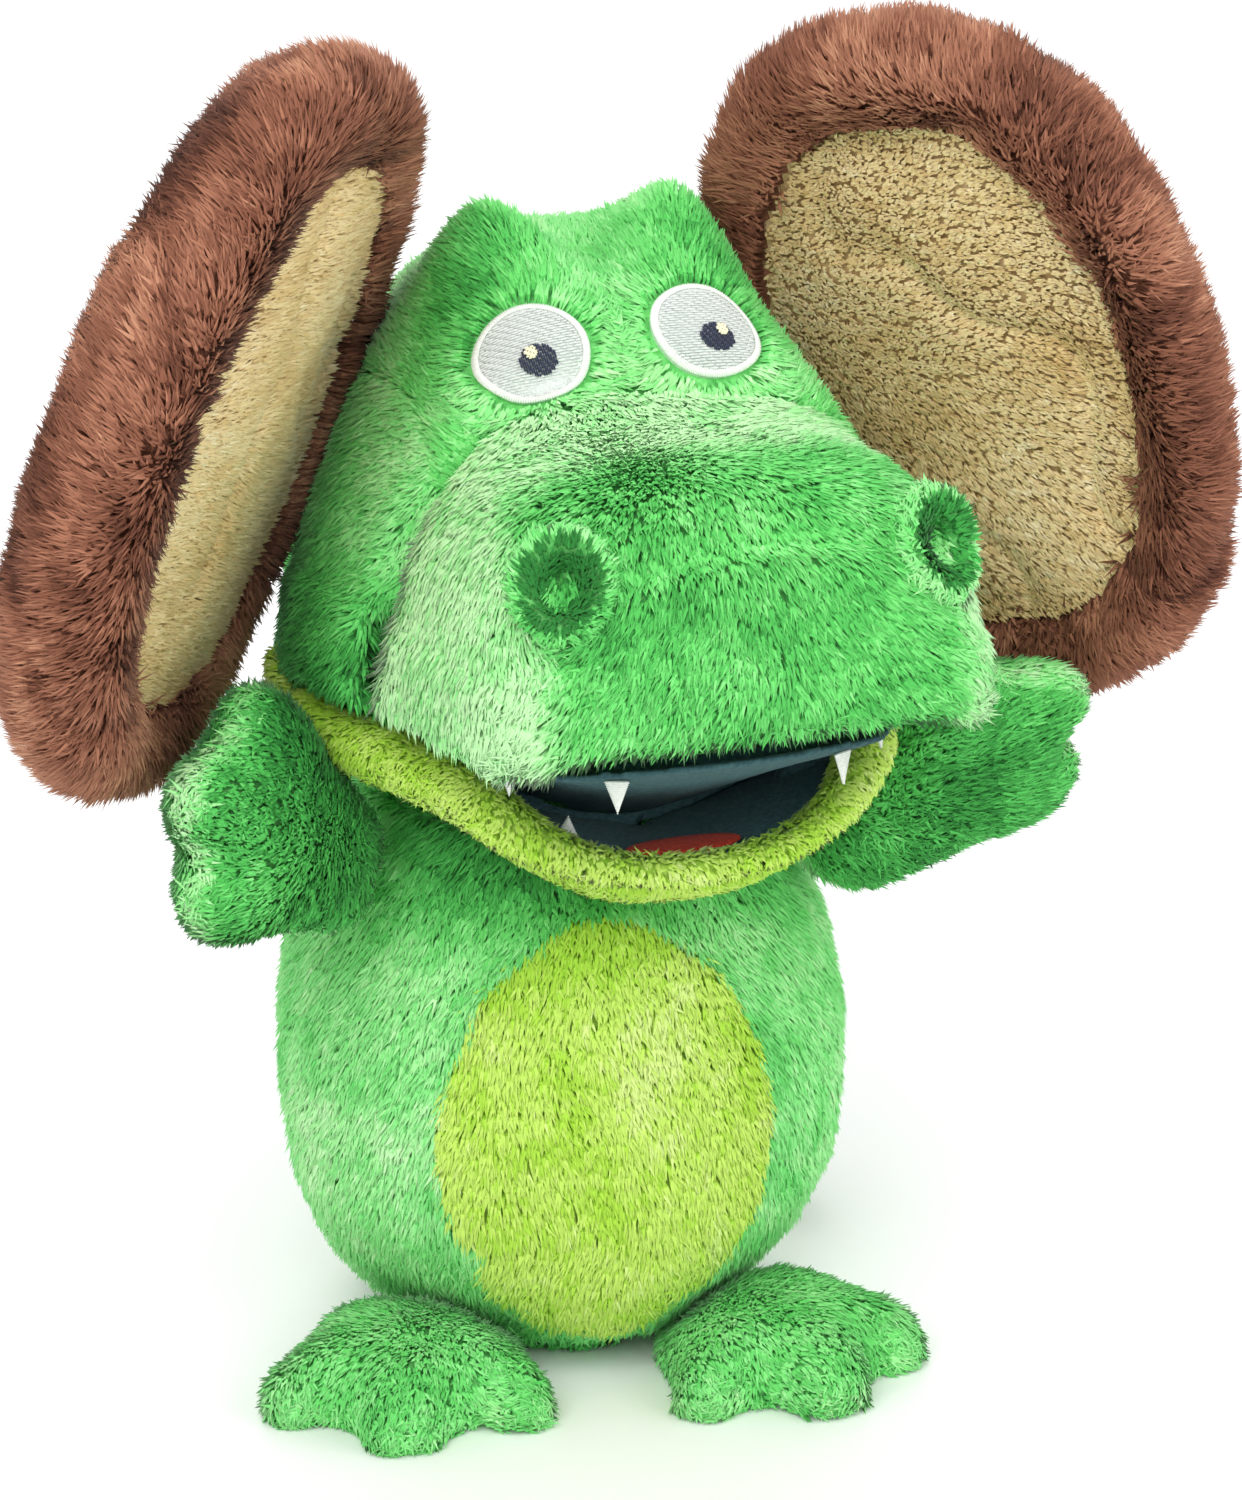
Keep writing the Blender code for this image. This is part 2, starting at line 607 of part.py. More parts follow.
def make_jaw(pivot):
    turns = np.linspace(-math.pi / 2, math.pi / 2, 13)
    outer, inner = [], []
    for t in turns:
        rim, lower = jaw_point(t, 0.0), jaw_point(t, 0.03, 5.5)
        under, middle = jaw_point(t, 0.30, 10.5), jaw_point(t, 0.86, 10.5)
        outer.append([rim, lower, under, middle])
        rim, lower = jaw_point(t, 0.09), jaw_point(t, 0.10, 4.5)
        under, middle = jaw_point(t, 0.33, 8.0), jaw_point(t, 0.86, 8.0)
        inner.append([rim, lower, under, middle])
    add_piece("jaw_skin", slab(np.array(outer), np.array(inner)), LIME, pivot)

    def layer(edge, top, thick):
        rows_out, rows_in = [], []
        for t in turns:
            line = [jaw_point(t, a, -top) for a in np.linspace(edge, 0.97, 4)]
            rows_out.append(line)
            rows_in.append([p - np.array([0, 0, thick]) for p in line])
        return slab(np.array(rows_out), np.array(rows_in))

    add_piece("lower_mouth_lining", layer(0.125, -2.0, 1.4), NAVY, pivot)
    add_piece("lower_mouth_plate", layer(0.30, -3.9, 1.4), CARD, pivot)
    add_piece("thumb_pocket", layer(0.47, -5.7, 1.5), LINING, pivot)

    count = 14
    rings = []
    for size, height in ((0.5, -0.8), (1.0, -0.8), (1.0, 0.1), (0.5, 0.3)):
        ring = []
        for k in range(count):
            a = 2 * math.pi * k / count
            x, reach = 12 * size * math.cos(a), 27 + 5.5 * size * math.sin(a)
            ring.append((x, -reach, 5.5 + 0.09 * reach + height + 0.003 * x * x))
        rings.append(ring)
    start = (0, -27, 5.5 + 0.09 * 27 - 0.8)
    add_piece("tongue", lofted(rings, start, (0, -27, 5.5 + 0.09 * 27 + 0.4)), RED, pivot)
    for number, turn in enumerate((-1.12, -0.72), 1):
        foot = jaw_point(turn, 0.16, 1.3)
        along = jaw_point(turn + 0.06, 0.16, 1.3) - jaw_point(turn - 0.06, 0.16, 1.3)
        along *= 2.2 / np.linalg.norm(along)
        inward = np.array([-math.sin(turn), math.cos(turn), 0.0])
        tip = np.array([0, 0, 4.0]) + 0.6 * inward
        front_face = [foot - along, foot + along, foot + tip]
        back_face = [p + 1.0 * inward for p in front_face]
        points = [tuple(p) for p in front_face + back_face]
        faces = [(0, 1, 2), (5, 4, 3), (0, 3, 4, 1), (1, 4, 5, 2), (2, 5, 3, 0)]
        add_piece(f"tooth_lower_{number}", (points, faces), WHITE, pivot, 0.6)


# Ears, arms, feet and tail ------------------------------------------------------------------------


def ear_point(angle, size, depth, side):
    """A point of an ear, which lies in its own XZ plane with its face towards -Y."""
    half, tall = EAR_LENGTH / 2, EAR_HEIGHT / 2
    square = 2 / 2.25
    across, up = math.cos(angle), math.sin(angle)
    x = half * math.copysign(abs(across) ** square, across)
    z = tall * math.copysign(abs(up) ** square, up)
    out = half + size * x
    flat = 0.35 + 0.65 * float(ease(out, -5, 50))  # the ear is pressed flat where it meets the head
    return (side * out, depth * flat, size * z)


def ear_rings(path, side, count=18):
    angles = np.arange(count) * 2 * math.pi / count
    return [[ear_point(a, size, depth, side) for a in angles] for size, depth in path]


def make_ear(side, name, pivot):
    """An ear from rings of (share of its outline, depth): a brown shell, its filling and a tan face."""
    seam = 0.74
    outer = [(0.55, 15.5), (0.88, 10.5), (1.0, 0.0), (0.965, -9.0), (0.86, -13.5), (seam + 0.01, -9.5)]
    inner = [(seam + 0.03, -6.5), (0.855, -10.2), (0.92, -7.4), (0.955, 0.0), (0.85, 7.9), (0.53, 12.6)]
    rings = ear_rings(outer + inner, side)
    start, end = ear_point(0, 0, 17.0, side), ear_point(0, 0, 14.3, side)
    add_piece(f"ear_{name}_back_skin", lofted(rings, start, end), BROWN, pivot)
    face = ((0.40, -9.4), (seam - 0.01, -9.0), (seam - 0.01, -6.6), (0.40, -7.0))
    start, end = ear_point(0, 0, -9.6, side), ear_point(0, 0, -7.1, side)
    add_piece(f"ear_{name}_face", lofted(ear_rings(face, side), start, end), TAN, pivot)
    back = [(0.50, 11.5), (0.81, 7.0), (0.925, 0.0), (0.89, -6.4)]
    core = [*back, (0.84, -8.6), (0.74, -5.2), (0.40, -6.2)]
    start, end = ear_point(0, 0, 13.2, side), ear_point(0, 0, -6.4, side)
    add_piece(f"ear_{name}_stuffing", lofted(ear_rings(core, side), start, end), WADDING, pivot)


def pillow(name, outline, turned, pivot):
    """A palm and a back, two domed panels sewn round an outline, with filling between them.

    turned takes x, z and the height over the seam's plane to the piece's own axes.
    """
    centre = np.array((22.0, 1.0))
    thick = ARM_THICKNESS
    reach = np.linalg.norm(outline - centre, axis=1).mean()

    def ring(size, height):
        return [turned(*(centre + size * (p - centre)), height) for p in outline]

    def dome(size, tall):
        return tall * (1 - size**2.4) ** 0.5

    sizes = (0.50, 0.82, 0.96)
    shrink = 1 - SHEET / reach
    core = 1 - (SHEET + 2 * GAP) / reach
    for sign, panel in ((-1, "palm"), (1, "back")):
        outside = [ring(s, sign * (SEAM + dome(s, thick))) for s in sizes] + [ring(1.0, sign * SEAM)]
        inside = [ring(shrink * s, sign * (SEAM + dome(s, thick - SHEET))) for s in reversed(sizes)]
        rings = outside + [ring(shrink, sign * SEAM)] + inside
        start = turned(*centre, sign * (SEAM + thick))
        end = turned(*centre, sign * (SEAM + thick - SHEET))
        add_piece(f"{name}_{panel}", lofted(rings, start, end), GREEN, pivot)
    tall = thick - SHEET - 2 * GAP
    front = [ring(core * s, -dome(s, tall)) for s in sizes]
    rings = front + [ring(core, 0.0)] + [ring(core * s, dome(s, tall)) for s in reversed(sizes)]
    shape = lofted(rings, turned(*centre, -tall), turned(*centre, tall))
    add_piece(f"{name}_stuffing", shape, WADDING, pivot)


def make_arm(side, name, pivot):
    """A mitten with three points, its palm towards -Y; the pivot is in the rounded shoulder end."""
    outline = closed_outline(
        (
            (-9, 0), (-6, 10), (6, 15), (23, 21), (39, 28), (48, 25), (49, 16),
            (59, 7), (57, -4), (46, -7), (47, -16), (37, -22), (22, -16), (5, -13), (-6, -9),
        ),
        26,
    )
    pillow(
        f"arm_{name}",
        outline,
        lambda x, z, height: (side * x, height, z),
        pivot,
    )


def foot_top(x, y, wanted, under, matrix):
    """Keep a foot's upper side below the body that overhangs it."""
    spot = matrix @ (Vector((x, y, 0)) * 0.001)
    across = math.hypot(spot.x, spot.y / 0.88) * 1000
    angle = math.atan2(spot.y / 0.88, spot.x)
    ahead = max(-y, 0.0)
    ceiling = 200.0
    for u in np.linspace(0.03, 0.45, 30):
        radius, height = body_profile(u)
        radius -= foot_hollow(angle, height)
        if radius >= across - 1.0:
            ceiling = height
            break
    clearance = 3.0 + 0.15 * ahead
    return min(wanted, ceiling - clearance - under)


def make_foot(side, name, pivot):
    """A flat foot with three toes: a sole, a domed upper and filling. It points along -Y."""
    outline = closed_outline(
        (
            (0, 2), (14, 0), (21, -8), (24, -20), (30, -31), (21, -37), (12, -34),
            (6, -46), (-6, -46), (-12, -34), (-21, -37), (-30, -31), (-24, -20), (-21, -8), (-14, 0),
        ),
        24,
    )
    centre = np.array((0.0, -22.0))
    sole, tall = FOOT_SOLE, FOOT_HEIGHT
    matrix = pivot.matrix_world
    sizes = (0.50, 0.80, 0.95)

    def ring(size, heights):
        points = [centre + size * (p - centre) for p in outline]
        return [(side * x, y, heights(x, y)) for x, y in points]

    def level(height):
        return lambda x, y: height

    def dome(size, tall, under):
        height = sole + 2 * SEAM + tall * (1 - size**2.4) ** 0.5
        return lambda x, y: foot_top(side * x, y, height, under, matrix)

    floor = level(0.0)
    rings = [ring(0.5, floor), ring(1.0, floor), ring(1.0, level(sole)), ring(0.5, level(sole))]
    start, end = (0, centre[1], 0.0), (0, centre[1], sole)
    add_piece(f"foot_{name}_sole", lofted(rings, start, end), GREEN, pivot)

    shrink, core = 0.90, 0.84

    def layer(size, height, under, low):
        shape = dome(size, height, under)
        return lambda x, y: max(shape(x, y), low)

    base = sole + 2 * SEAM
    thin = SHEET - 0.6
    outside = [ring(s, layer(s, tall, 0, base + thin + 1.4)) for s in sizes] + [ring(1.0, level(base))]
    inside = [ring(shrink * s, layer(s, tall - thin, thin, base + 1.2)) for s in reversed(sizes)]
    rings = outside + [ring(shrink, level(base))] + inside
    middle = centre[1]
    start, end = (0, middle, base + tall), (0, middle, base + tall - thin)
    add_piece(f"foot_{name}_upper", lofted(rings, start, end), GREEN, pivot)

    less = thin + 1.6
    filling = [ring(core * s, layer(s, tall - less, less, base + 0.5)) for s in sizes]
    rings = filling + [ring(core * 0.97, level(base)), ring(0.45, level(base))]
    shape = lofted(rings, (0, middle, base + tall - less), (0, middle, base))
    add_piece(f"foot_{name}_stuffing", shape, WADDING, pivot)


def make_tail(pivot):
    """A short tail that starts at the back and curls round to the wearer's left."""
    path = (
        (0.0, 0, 0, 0),
        (0.2, 6, 9, -3),
        (0.45, 26, 12, -8),
        (0.75, 48, -4, -12),
        (1.0, 60, -26, -14),
    )
    sizes = ((0.0, 12.5), (0.3, 12.0), (0.6, 10.0), (0.85, 7.0), (1.0, 4.0))

    def ring(t, inset, count=14):
        centre = through(path, t)[0]
        along = through(path, min(t + 0.01, 1))[0] - through(path, max(t - 0.01, 0))[0]
        along /= np.linalg.norm(along)
        across = np.cross(along, (0, 0, 1))
        across /= np.linalg.norm(across)
        up = np.cross(across, along)
        radius = through(sizes, t)[0][0] - inset
        angles = np.arange(count) * 2 * math.pi / count
        return [centre + radius * (math.cos(a) * across + math.sin(a) * up) for a in angles]

    def tip(t, inset):
        centre = through(path, 1.0)[0]
        along = centre - through(path, 0.97)[0]
        return centre + along / np.linalg.norm(along) * (t - inset)

    outside = [ring(t, 0.0) for t in np.linspace(0, 1, 8)]
    inside = [ring(t, SHEET * 0.9) for t in np.linspace(0.97, 0, 7)]
    rings = list(reversed(outside)) + list(reversed(inside))
    add_piece("tail_skin", lofted(rings, tip(2.5, 0), tip(0, 0.5)), GREEN, pivot)
    core = [ring(t, SHEET + 1.2) for t in np.linspace(0.05, 0.9, 7)]
    start, end = np.mean(core[0], axis=0), np.mean(core[-1], axis=0)
    add_piece("tail_stuffing", lofted(core, start, end), WADDING, pivot)


# Assembly -----------------------------------------------------------------------------------------


def in_head(side, forward, height):
    """A place in the turned head, in the body's axes."""
    turned = Matrix.Rotation(HEAD_YAW, 3, "Z") @ Vector((side, -forward, 0))
    return Vector((NECK_PIVOT.x + turned.x, NECK_PIVOT.y + turned.y, height))


def main():
    for leftover in list(bpy.data.objects):
        bpy.data.objects.remove(leftover)
    body = add_pivot("body_axis", place((0, 0, 0)))
    neck = add_pivot("neck_axis", place(NECK_PIVOT, (HEAD_YAW, "Z")))
    head = add_pivot("head_axis", place(NECK_PIVOT, (HEAD_YAW, "Z")))
    fold = in_head(0, *MOUTH_FOLD)
    jaw = add_pivot("jaw_axis", place(fold, (HEAD_YAW, "Z")))
    make_body(body)
    make_neck(neck)
    head_panels(head)
    head_filling(head)
    hand_linings(head)
    base_of_head(head)
    opening_binding(head)
    face_details(head)
    upper_mouth(head)
    lip_bands(head)
    make_jaw(jaw)
    for side, name in ((-1, "left"), (1, "right")):
        root = in_head(side * EAR_ROOT[0], EAR_ROOT[1], EAR_ROOT[2])
        lean = math.radians(EAR_LEANS[name])
        turns = ((HEAD_YAW, "Z"), (-side * lean, "Y"), (-side * EAR_SWEEP, "Z"))
        make_ear(side, name, add_pivot(f"ear_{name}_axis", place(root, *turns)))
        sweep, raised, twist = (math.radians(a) for a in ARM_POSES[name])
        out, forward, height = SHOULDERS[name]
        shoulder = (side * out, -forward, height)
        turns = ((-side * sweep, "Z"), (-side * raised, "Y"), (twist, "X"))
        make_arm(side, name, add_pivot(f"arm_{name}_axis", place(shoulder, *turns)))
        out, forward = FOOT_ROOTS[name]
        ankle = (side * out, -forward, 0.0)
        turns = ((side * math.radians(FOOT_SPLAY[name]), "Z"),)
        make_foot(side, name, add_pivot(f"foot_{name}_axis", place(ankle, *turns)))
    make_tail(add_pivot("tail_axis", place(TAIL_ROOT)))


main()
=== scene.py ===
"""The looks of a plush crocodile hand puppet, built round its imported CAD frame.

Each soft organ gets one smooth backing round its CAD panels. Its pile is real geometry: small bent tufts
that stand on the backing, lie along a combed direction and lean together in clumps. Embroidery is laid
down stitch by stitch. Lengths are in metres; MM turns millimetres into metres.
"""

import itertools
import json
import math

import bmesh
import bpy
import numpy as np
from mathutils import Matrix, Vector
from mathutils.bvhtree import BVHTree


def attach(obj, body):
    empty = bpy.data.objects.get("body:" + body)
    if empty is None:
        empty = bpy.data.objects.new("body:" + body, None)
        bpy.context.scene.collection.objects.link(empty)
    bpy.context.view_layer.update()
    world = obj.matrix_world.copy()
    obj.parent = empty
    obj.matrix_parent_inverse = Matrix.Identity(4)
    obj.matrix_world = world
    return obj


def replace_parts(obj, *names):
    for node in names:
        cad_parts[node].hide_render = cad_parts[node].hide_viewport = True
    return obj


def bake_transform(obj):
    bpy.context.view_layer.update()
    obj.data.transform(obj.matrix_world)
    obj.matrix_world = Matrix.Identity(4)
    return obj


MM = 0.001
SEED = 7
PILE_PER_MM2 = 3.0
TUFT_WIDTH = 0.40 * MM
MOST_TUFTS = 33000  # in one piece
CLUMP = 2.6 * MM
VOXEL = 2.2 * MM
ROOT_DEPTH = 1.3 * MM  # how far the backing lies below the CAD skin, so that the pile ends near it
THIN_WALL = 4 * MM  # a wall this thin keeps its place, so that it gets no hole
THICK_WALL = 20 * MM  # no wall is measured deeper than this
OPEN_AIR = 14 * MM  # a tuft grows only where this much air stands over it
LOWEST_TUFT = 0.3 * MM  # no tuft reaches lower over the floor

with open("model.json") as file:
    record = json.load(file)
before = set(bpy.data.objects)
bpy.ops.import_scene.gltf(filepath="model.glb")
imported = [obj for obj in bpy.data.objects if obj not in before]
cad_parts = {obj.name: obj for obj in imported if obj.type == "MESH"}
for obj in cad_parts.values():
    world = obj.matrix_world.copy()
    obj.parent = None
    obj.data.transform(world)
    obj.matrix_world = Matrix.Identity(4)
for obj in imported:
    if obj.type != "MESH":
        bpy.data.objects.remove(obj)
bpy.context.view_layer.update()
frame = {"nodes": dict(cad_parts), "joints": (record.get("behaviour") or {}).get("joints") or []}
rng = np.random.default_rng(SEED)


# Small helpers -------------------------


def unit(vectors):
    return vectors / np.maximum(np.linalg.norm(vectors, axis=-1, keepdims=True), 1e-12)


def ease(value, low, high):
    """0 below low, 1 above high, and smooth between."""
    t = np.clip((value - low) / (high - low), 0, 1)
    return t * t * (3 - 2 * t)


def bump(value, middle, width):
    """1 at the middle, fading away over about the given width on both sides."""
    return np.exp(-(((value - middle) / width) ** 2))


def hashed(cells):
    """A repeatable number from 0 to 1 for each row of whole numbers."""
    mixed = cells @ np.array([73856093, 19349663, 83492791])
    mixed = (mixed ^ (mixed >> 13)) * 1274126177
    return ((mixed ^ (mixed >> 16)) & 0xFFFF) / 0xFFFF


def cloud(points, size, seed):
    """Smooth noise from -1 to 1 with patches of about the given size."""
    spots = points / size + 31.7 * seed
    low = np.floor(spots).astype(np.int64)
    t = spots - low
    t = t * t * (3 - 2 * t)
    total = np.zeros(len(points))
    for corner in itertools.product((0, 1), repeat=3):
        weight = np.prod(np.where(corner, t, 1 - t), axis=1)
        total += weight * hashed(low + np.array(corner))
    return 2 * total - 1


def swirl(points, size, seed):
    return np.column_stack([cloud(points, size, seed + k) for k in range(3)])


def through(points, count):
    """A smooth open curve through rows of coordinates, as count evenly spread points."""
    points = np.asarray(points, float)
    slopes = np.gradient(points, axis=0)
    at = np.linspace(0, len(points) - 1, count)
    low = np.minimum(at.astype(int), len(points) - 2)
    t = (at - low)[:, None]
    return (
        (2 * t**3 - 3 * t**2 + 1) * points[low]
        + (t**3 - 2 * t**2 + t) * slopes[low]
        + (3 * t**2 - 2 * t**3) * points[low + 1]
        + (t**3 - t**2) * slopes[low + 1]
    )


def joint(name):
    return next(j for j in frame["joints"] if j["name"] == name)


def node_points(*names):
    """The corners of some CAD nodes, as rows of coordinates."""
    return np.concatenate(
        [np.array([v.co for v in frame["nodes"][n].data.vertices]) for n in names]
    )


# The head's own axes -------------------

HEAD_AT = np.array(joint("head_nod")["pos_m"])
HEAD_SIDE = np.array(joint("head_nod")["axis"])
HEAD_AHEAD = np.array([HEAD_SIDE[1], -HEAD_SIDE[0], 0.0])
UP = np.array([0.0, 0.0, 1.0])


def in_head(points):
    """Sideways, forward and height in millimetres, in the head's axes."""
    away = (points - [HEAD_AT[0], HEAD_AT[1], 0]) / MM
    return away @ HEAD_SIDE, away @ HEAD_AHEAD, away[:, 2]


def from_head(side, ahead, height):
    """The place of a spot given in millimetres in the head's axes."""
    flat = [HEAD_AT[0], HEAD_AT[1], 0]
    along = np.multiply.outer(np.asarray(side, float), HEAD_SIDE)
    along = along + np.multiply.outer(np.asarray(ahead, float), HEAD_AHEAD)
    along = along + np.multiply.outer(np.asarray(height, float), UP)
    return flat + along * MM


# Materials -----------------------------


def linear(red, green, blue):
    """Linear colour values of an sRGB colour given from 0 to 255."""
    shares = np.array([red, green, blue]) / 255
    return (*np.where(shares < 0.04045, shares / 12.92, ((shares + 0.055) / 1.055) ** 2.4), 1.0)


GREENS = (
    (44, 126, 52),
    (64, 162, 70),
    (86, 194, 90),
    (110, 216, 110),
    (138, 232, 134),
    (166, 242, 156),
    (196, 250, 182),
)
LIMES = ((122, 180, 30), (150, 206, 48), (174, 222, 72), (196, 232, 104), (214, 240, 140))
BROWNS = ((80, 44, 30), (112, 68, 50), (144, 92, 70), (172, 116, 90), (198, 142, 112), (220, 172, 140))
TANS = ((184, 148, 92), (208, 174, 116), (230, 198, 142), (243, 216, 164), (250, 230, 188))


def shader_of(name):
    material = bpy.data.materials.new(name)
    material.use_nodes = True
    return material, material.node_tree, material.node_tree.nodes["Principled BSDF"]


def pile_materials(name, colours):
    """One material for each shade of a pile. The sheen breaks up with a fine noise."""
    made = []
    for number, colour in enumerate(colours, 1):
        material, tree, shader = shader_of(f"{name}_pile_{number}")
        shader.inputs["Base Color"].default_value = linear(*colour)
        shader.inputs["Roughness"].default_value = 0.78
        shader.inputs["Specular IOR Level"].default_value = 0.25
        shader.inputs["Sheen Roughness"].default_value = 0.45
        shader.inputs["Sheen Tint"].default_value = linear(*(np.array(colour) * 0.5 + 127))
        noise = tree.nodes.new("ShaderNodeTexNoise")
        noise.inputs["Scale"].default_value = 700
        spread = tree.nodes.new("ShaderNodeMapRange")
        spread.inputs["To Min"].default_value = 0.05
        spread.inputs["To Max"].default_value = 0.45
        tree.links.new(noise.outputs["Fac"], spread.inputs["Value"])
        tree.links.new(spread.outputs["Result"], shader.inputs["Sheen Weight"])
        made.append(material)
    return made


def cloth_material(name, dark, light, grain, bump, roughness=0.9, sheen=0.2):
    """Woven or felted cloth: two shades mixed by noise, with a fine bump."""
    material, tree, shader = shader_of(name)
    noise = tree.nodes.new("ShaderNodeTexNoise")
    noise.inputs["Scale"].default_value = grain
    noise.inputs["Detail"].default_value = 8
    noise.inputs["Roughness"].default_value = 0.7
    ramp = tree.nodes.new("ShaderNodeValToRGB")
    ramp.color_ramp.elements[0].position = 0.33
    ramp.color_ramp.elements[0].color = linear(*dark)
    ramp.color_ramp.elements[1].position = 0.67
    ramp.color_ramp.elements[1].color = linear(*light)
    height = tree.nodes.new("ShaderNodeBump")
    height.inputs["Strength"].default_value = bump
    height.inputs["Distance"].default_value = 0.4 * MM
    place = tree.nodes.new("ShaderNodeTexCoord")
    tree.links.new(place.outputs["Object"], noise.inputs["Vector"])
    tree.links.new(noise.outputs["Fac"], ramp.inputs["Fac"])
    tree.links.new(ramp.outputs["Color"], shader.inputs["Base Color"])
    tree.links.new(noise.outputs["Fac"], height.inputs["Height"])
    tree.links.new(height.outputs["Normal"], shader.inputs["Normal"])
    shader.inputs["Roughness"].default_value = roughness
    shader.inputs["Sheen Weight"].default_value = sheen
    shader.inputs["Specular IOR Level"].default_value = 0.2
    return material


SHADES = {"green": GREENS, "lime": LIMES, "brown": BROWNS, "tan": TANS}
PILES = {name: pile_materials(name, shades) for name, shades in SHADES.items()}
BACKINGS = {
    "green": cloth_material("green_backing", GREENS[1], GREENS[4], 260, 0.5),
    "lime": cloth_material("lime_backing", LIMES[0], LIMES[3], 260, 0.5),
    "brown": cloth_material("brown_backing", BROWNS[0], BROWNS[3], 260, 0.5),
    "tan": cloth_material("tan_backing", TANS[0], TANS[3], 260, 0.5),
}
FELT = cloth_material("navy_felt", (36, 66, 72), (66, 102, 104), 900, 0.6, sheen=0.03)
# a lighter copy of the navy felt, for the mouth's floor and fold: painted light that lifts their shade
FELT_LIGHTENED = cloth_material("navy_felt_lightened", (56, 92, 100), (92, 130, 136), 900, 0.6, sheen=0.05)
RED_FELT = cloth_material("red_felt", (186, 44, 28), (228, 82, 56), 900, 0.6, sheen=0.05)
WHITE_THREAD = cloth_material("white_thread", (222, 228, 220), (246, 248, 242), 1500, 0.3, 0.45, 0.5)
GREY_THREAD = cloth_material("grey_white_thread", (198, 206, 202), (236, 240, 236), 1500, 0.5, 0.5, 0.4)
NAVY_THREAD = cloth_material("navy_thread", (16, 22, 46), (44, 54, 84), 1500, 0.3, 0.4, 0.4)
CREAM_THREAD = cloth_material("cream_thread", (236, 226, 186), (250, 246, 222), 1500, 0.3, 0.4, 0.4)
LINING = cloth_material("dark_lining", (24, 28, 32), (46, 52, 58), 1200, 0.5)
BOARD = cloth_material("stiff_board", (120, 96, 66), (160, 134, 98), 500, 0.4, 0.7, 0.0)
BAG = cloth_material("woven_bag", (196, 196, 190), (226, 226, 220), 1400, 0.6)


# Pieces --------------------------------


def new_piece(name, points, faces, materials, outward=False):
    mesh = bpy.data.meshes.new(name)
    mesh.from_pydata([tuple(p) for p in points], [], [tuple(int(i) for i in f) for f in faces])
    if outward:
        shape = bmesh.new()
        shape.from_mesh(mesh)
        bmesh.ops.recalc_face_normals(shape, faces=shape.faces)
        shape.to_mesh(mesh)
        shape.free()
    mesh.shade_smooth()
    for material in materials:
        mesh.materials.append(material)
    piece = bpy.data.objects.new(name, mesh)
    bpy.context.scene.collection.objects.link(piece)
    return piece


def move_vertices(mesh, points):
    mesh.vertices.foreach_set("co", points.astype(np.float32).ravel())
    mesh.update()


def apply_modifiers(piece):
    """Make the modified shape the piece's own mesh."""
    graph = bpy.context.evaluated_depsgraph_get()
    mesh = bpy.data.meshes.new_from_object(piece.evaluated_get(graph))
    piece.modifiers.clear()
    piece.data = mesh
    mesh.shade_smooth()


def hull_of(points):
    """The corners and faces of the convex hull round some points."""
    shape = bmesh.new()
    for point in points:
        shape.verts.new(point)
    made = bmesh.ops.convex_hull(shape, input=shape.verts)
    inner = list(set(made["geom_interior"] + made["geom_unused"]))
    bmesh.ops.delete(shape, geom=[v for v in inner if isinstance(v, bmesh.types.BMVert)])
    shape.verts.index_update()
    corners = [v.co.copy() for v in shape.verts]
    faces = [tuple(v.index for v in f.verts) for f in shape.faces]
    shape.free()
    return corners, faces


def wall_thickness(points, normals, faces):
    """How thick the piece is under each point, but THICK_WALL at most."""
    tree = BVHTree.FromPolygons(points.tolist(), faces.tolist())
    thick = np.full(len(points), THICK_WALL)
    for index, (point, normal) in enumerate(zip(points, normals)):
        hit = tree.ray_cast(Vector(point - 0.2 * MM * normal), Vector(-normal), THICK_WALL)[3]
        if hit is not None:
            thick[index] = hit
    return thick


def backing(name, nodes, colour, extra=((), ()), voxel=VOXEL, rounds=12, depth=ROOT_DEPTH):
    """One closed and smooth skin round some CAD nodes, on which a pile can stand.

    It lies up to depth below the nodes' own surface. extra holds the corners and faces of a shape that is
    added to the nodes, and rounds is how often the skin is smoothed.
    """
    points, faces = list(extra[0]), list(extra[1])
    for node in nodes:
        mesh = frame["nodes"][node].data
        first = len(points)
        points += [v.co.copy() for v in mesh.vertices]
        faces += [tuple(first + i for i in p.vertices) for p in mesh.polygons]
    piece = new_piece(name, points, faces, [])
    cubes = piece.modifiers.new("one skin", "REMESH")
    cubes.mode = "VOXEL"
    cubes.voxel_size = voxel
    relax = piece.modifiers.new("relax", "SMOOTH")
    relax.factor = 0.5
    relax.iterations = rounds
    apply_modifiers(piece)
    points, normals, triangles = mesh_arrays(piece.data)
    depths = np.clip((wall_thickness(points, normals, triangles) - THIN_WALL) / 3, 0, depth)
    moved = points - depths[:, None] * normals
    standing = (points[:, 2] < 3 * MM) & (normals[:, 2] < -0.4)
    moved[standing, 2] = points[standing, 2]
    move_vertices(piece.data, moved)
    piece.data.materials.clear()
    piece.data.materials.append(BACKINGS[colour])
    return piece


def dye(piece, chosen, material):
    """Give the faces whose middles pass a test another material."""
    mesh = piece.data
    middles = np.empty(len(mesh.polygons) * 3)
    mesh.polygons.foreach_get("center", middles)
    mesh.materials.append(material)
    slots = np.empty(len(mesh.polygons), np.int32)
    mesh.polygons.foreach_get("material_index", slots)
    slots[chosen(middles.reshape(-1, 3))] = len(mesh.materials) - 1
    mesh.polygons.foreach_set("material_index", slots)
    mesh.update()


def folds(points, size, seed):
    """1 along wandering lines about the given distance apart, and 0 away from them."""
    return bump(cloud(points * [1, 1, 0.6], size, seed), 0, 0.09)


def crumple(shell, size, depth, seed):
    """Press soft folds into a stuffed piece, and let it swell a little between them."""
    points, normals, _ = mesh_arrays(shell.data)
    swell = 0.4 * cloud(points, size, seed + 5) - folds(points, size, seed)
    moved = points + depth * swell[:, None] * normals
    low = points[:, 2] < 4 * MM
    moved[low] = points[low]
    move_vertices(shell.data, moved)


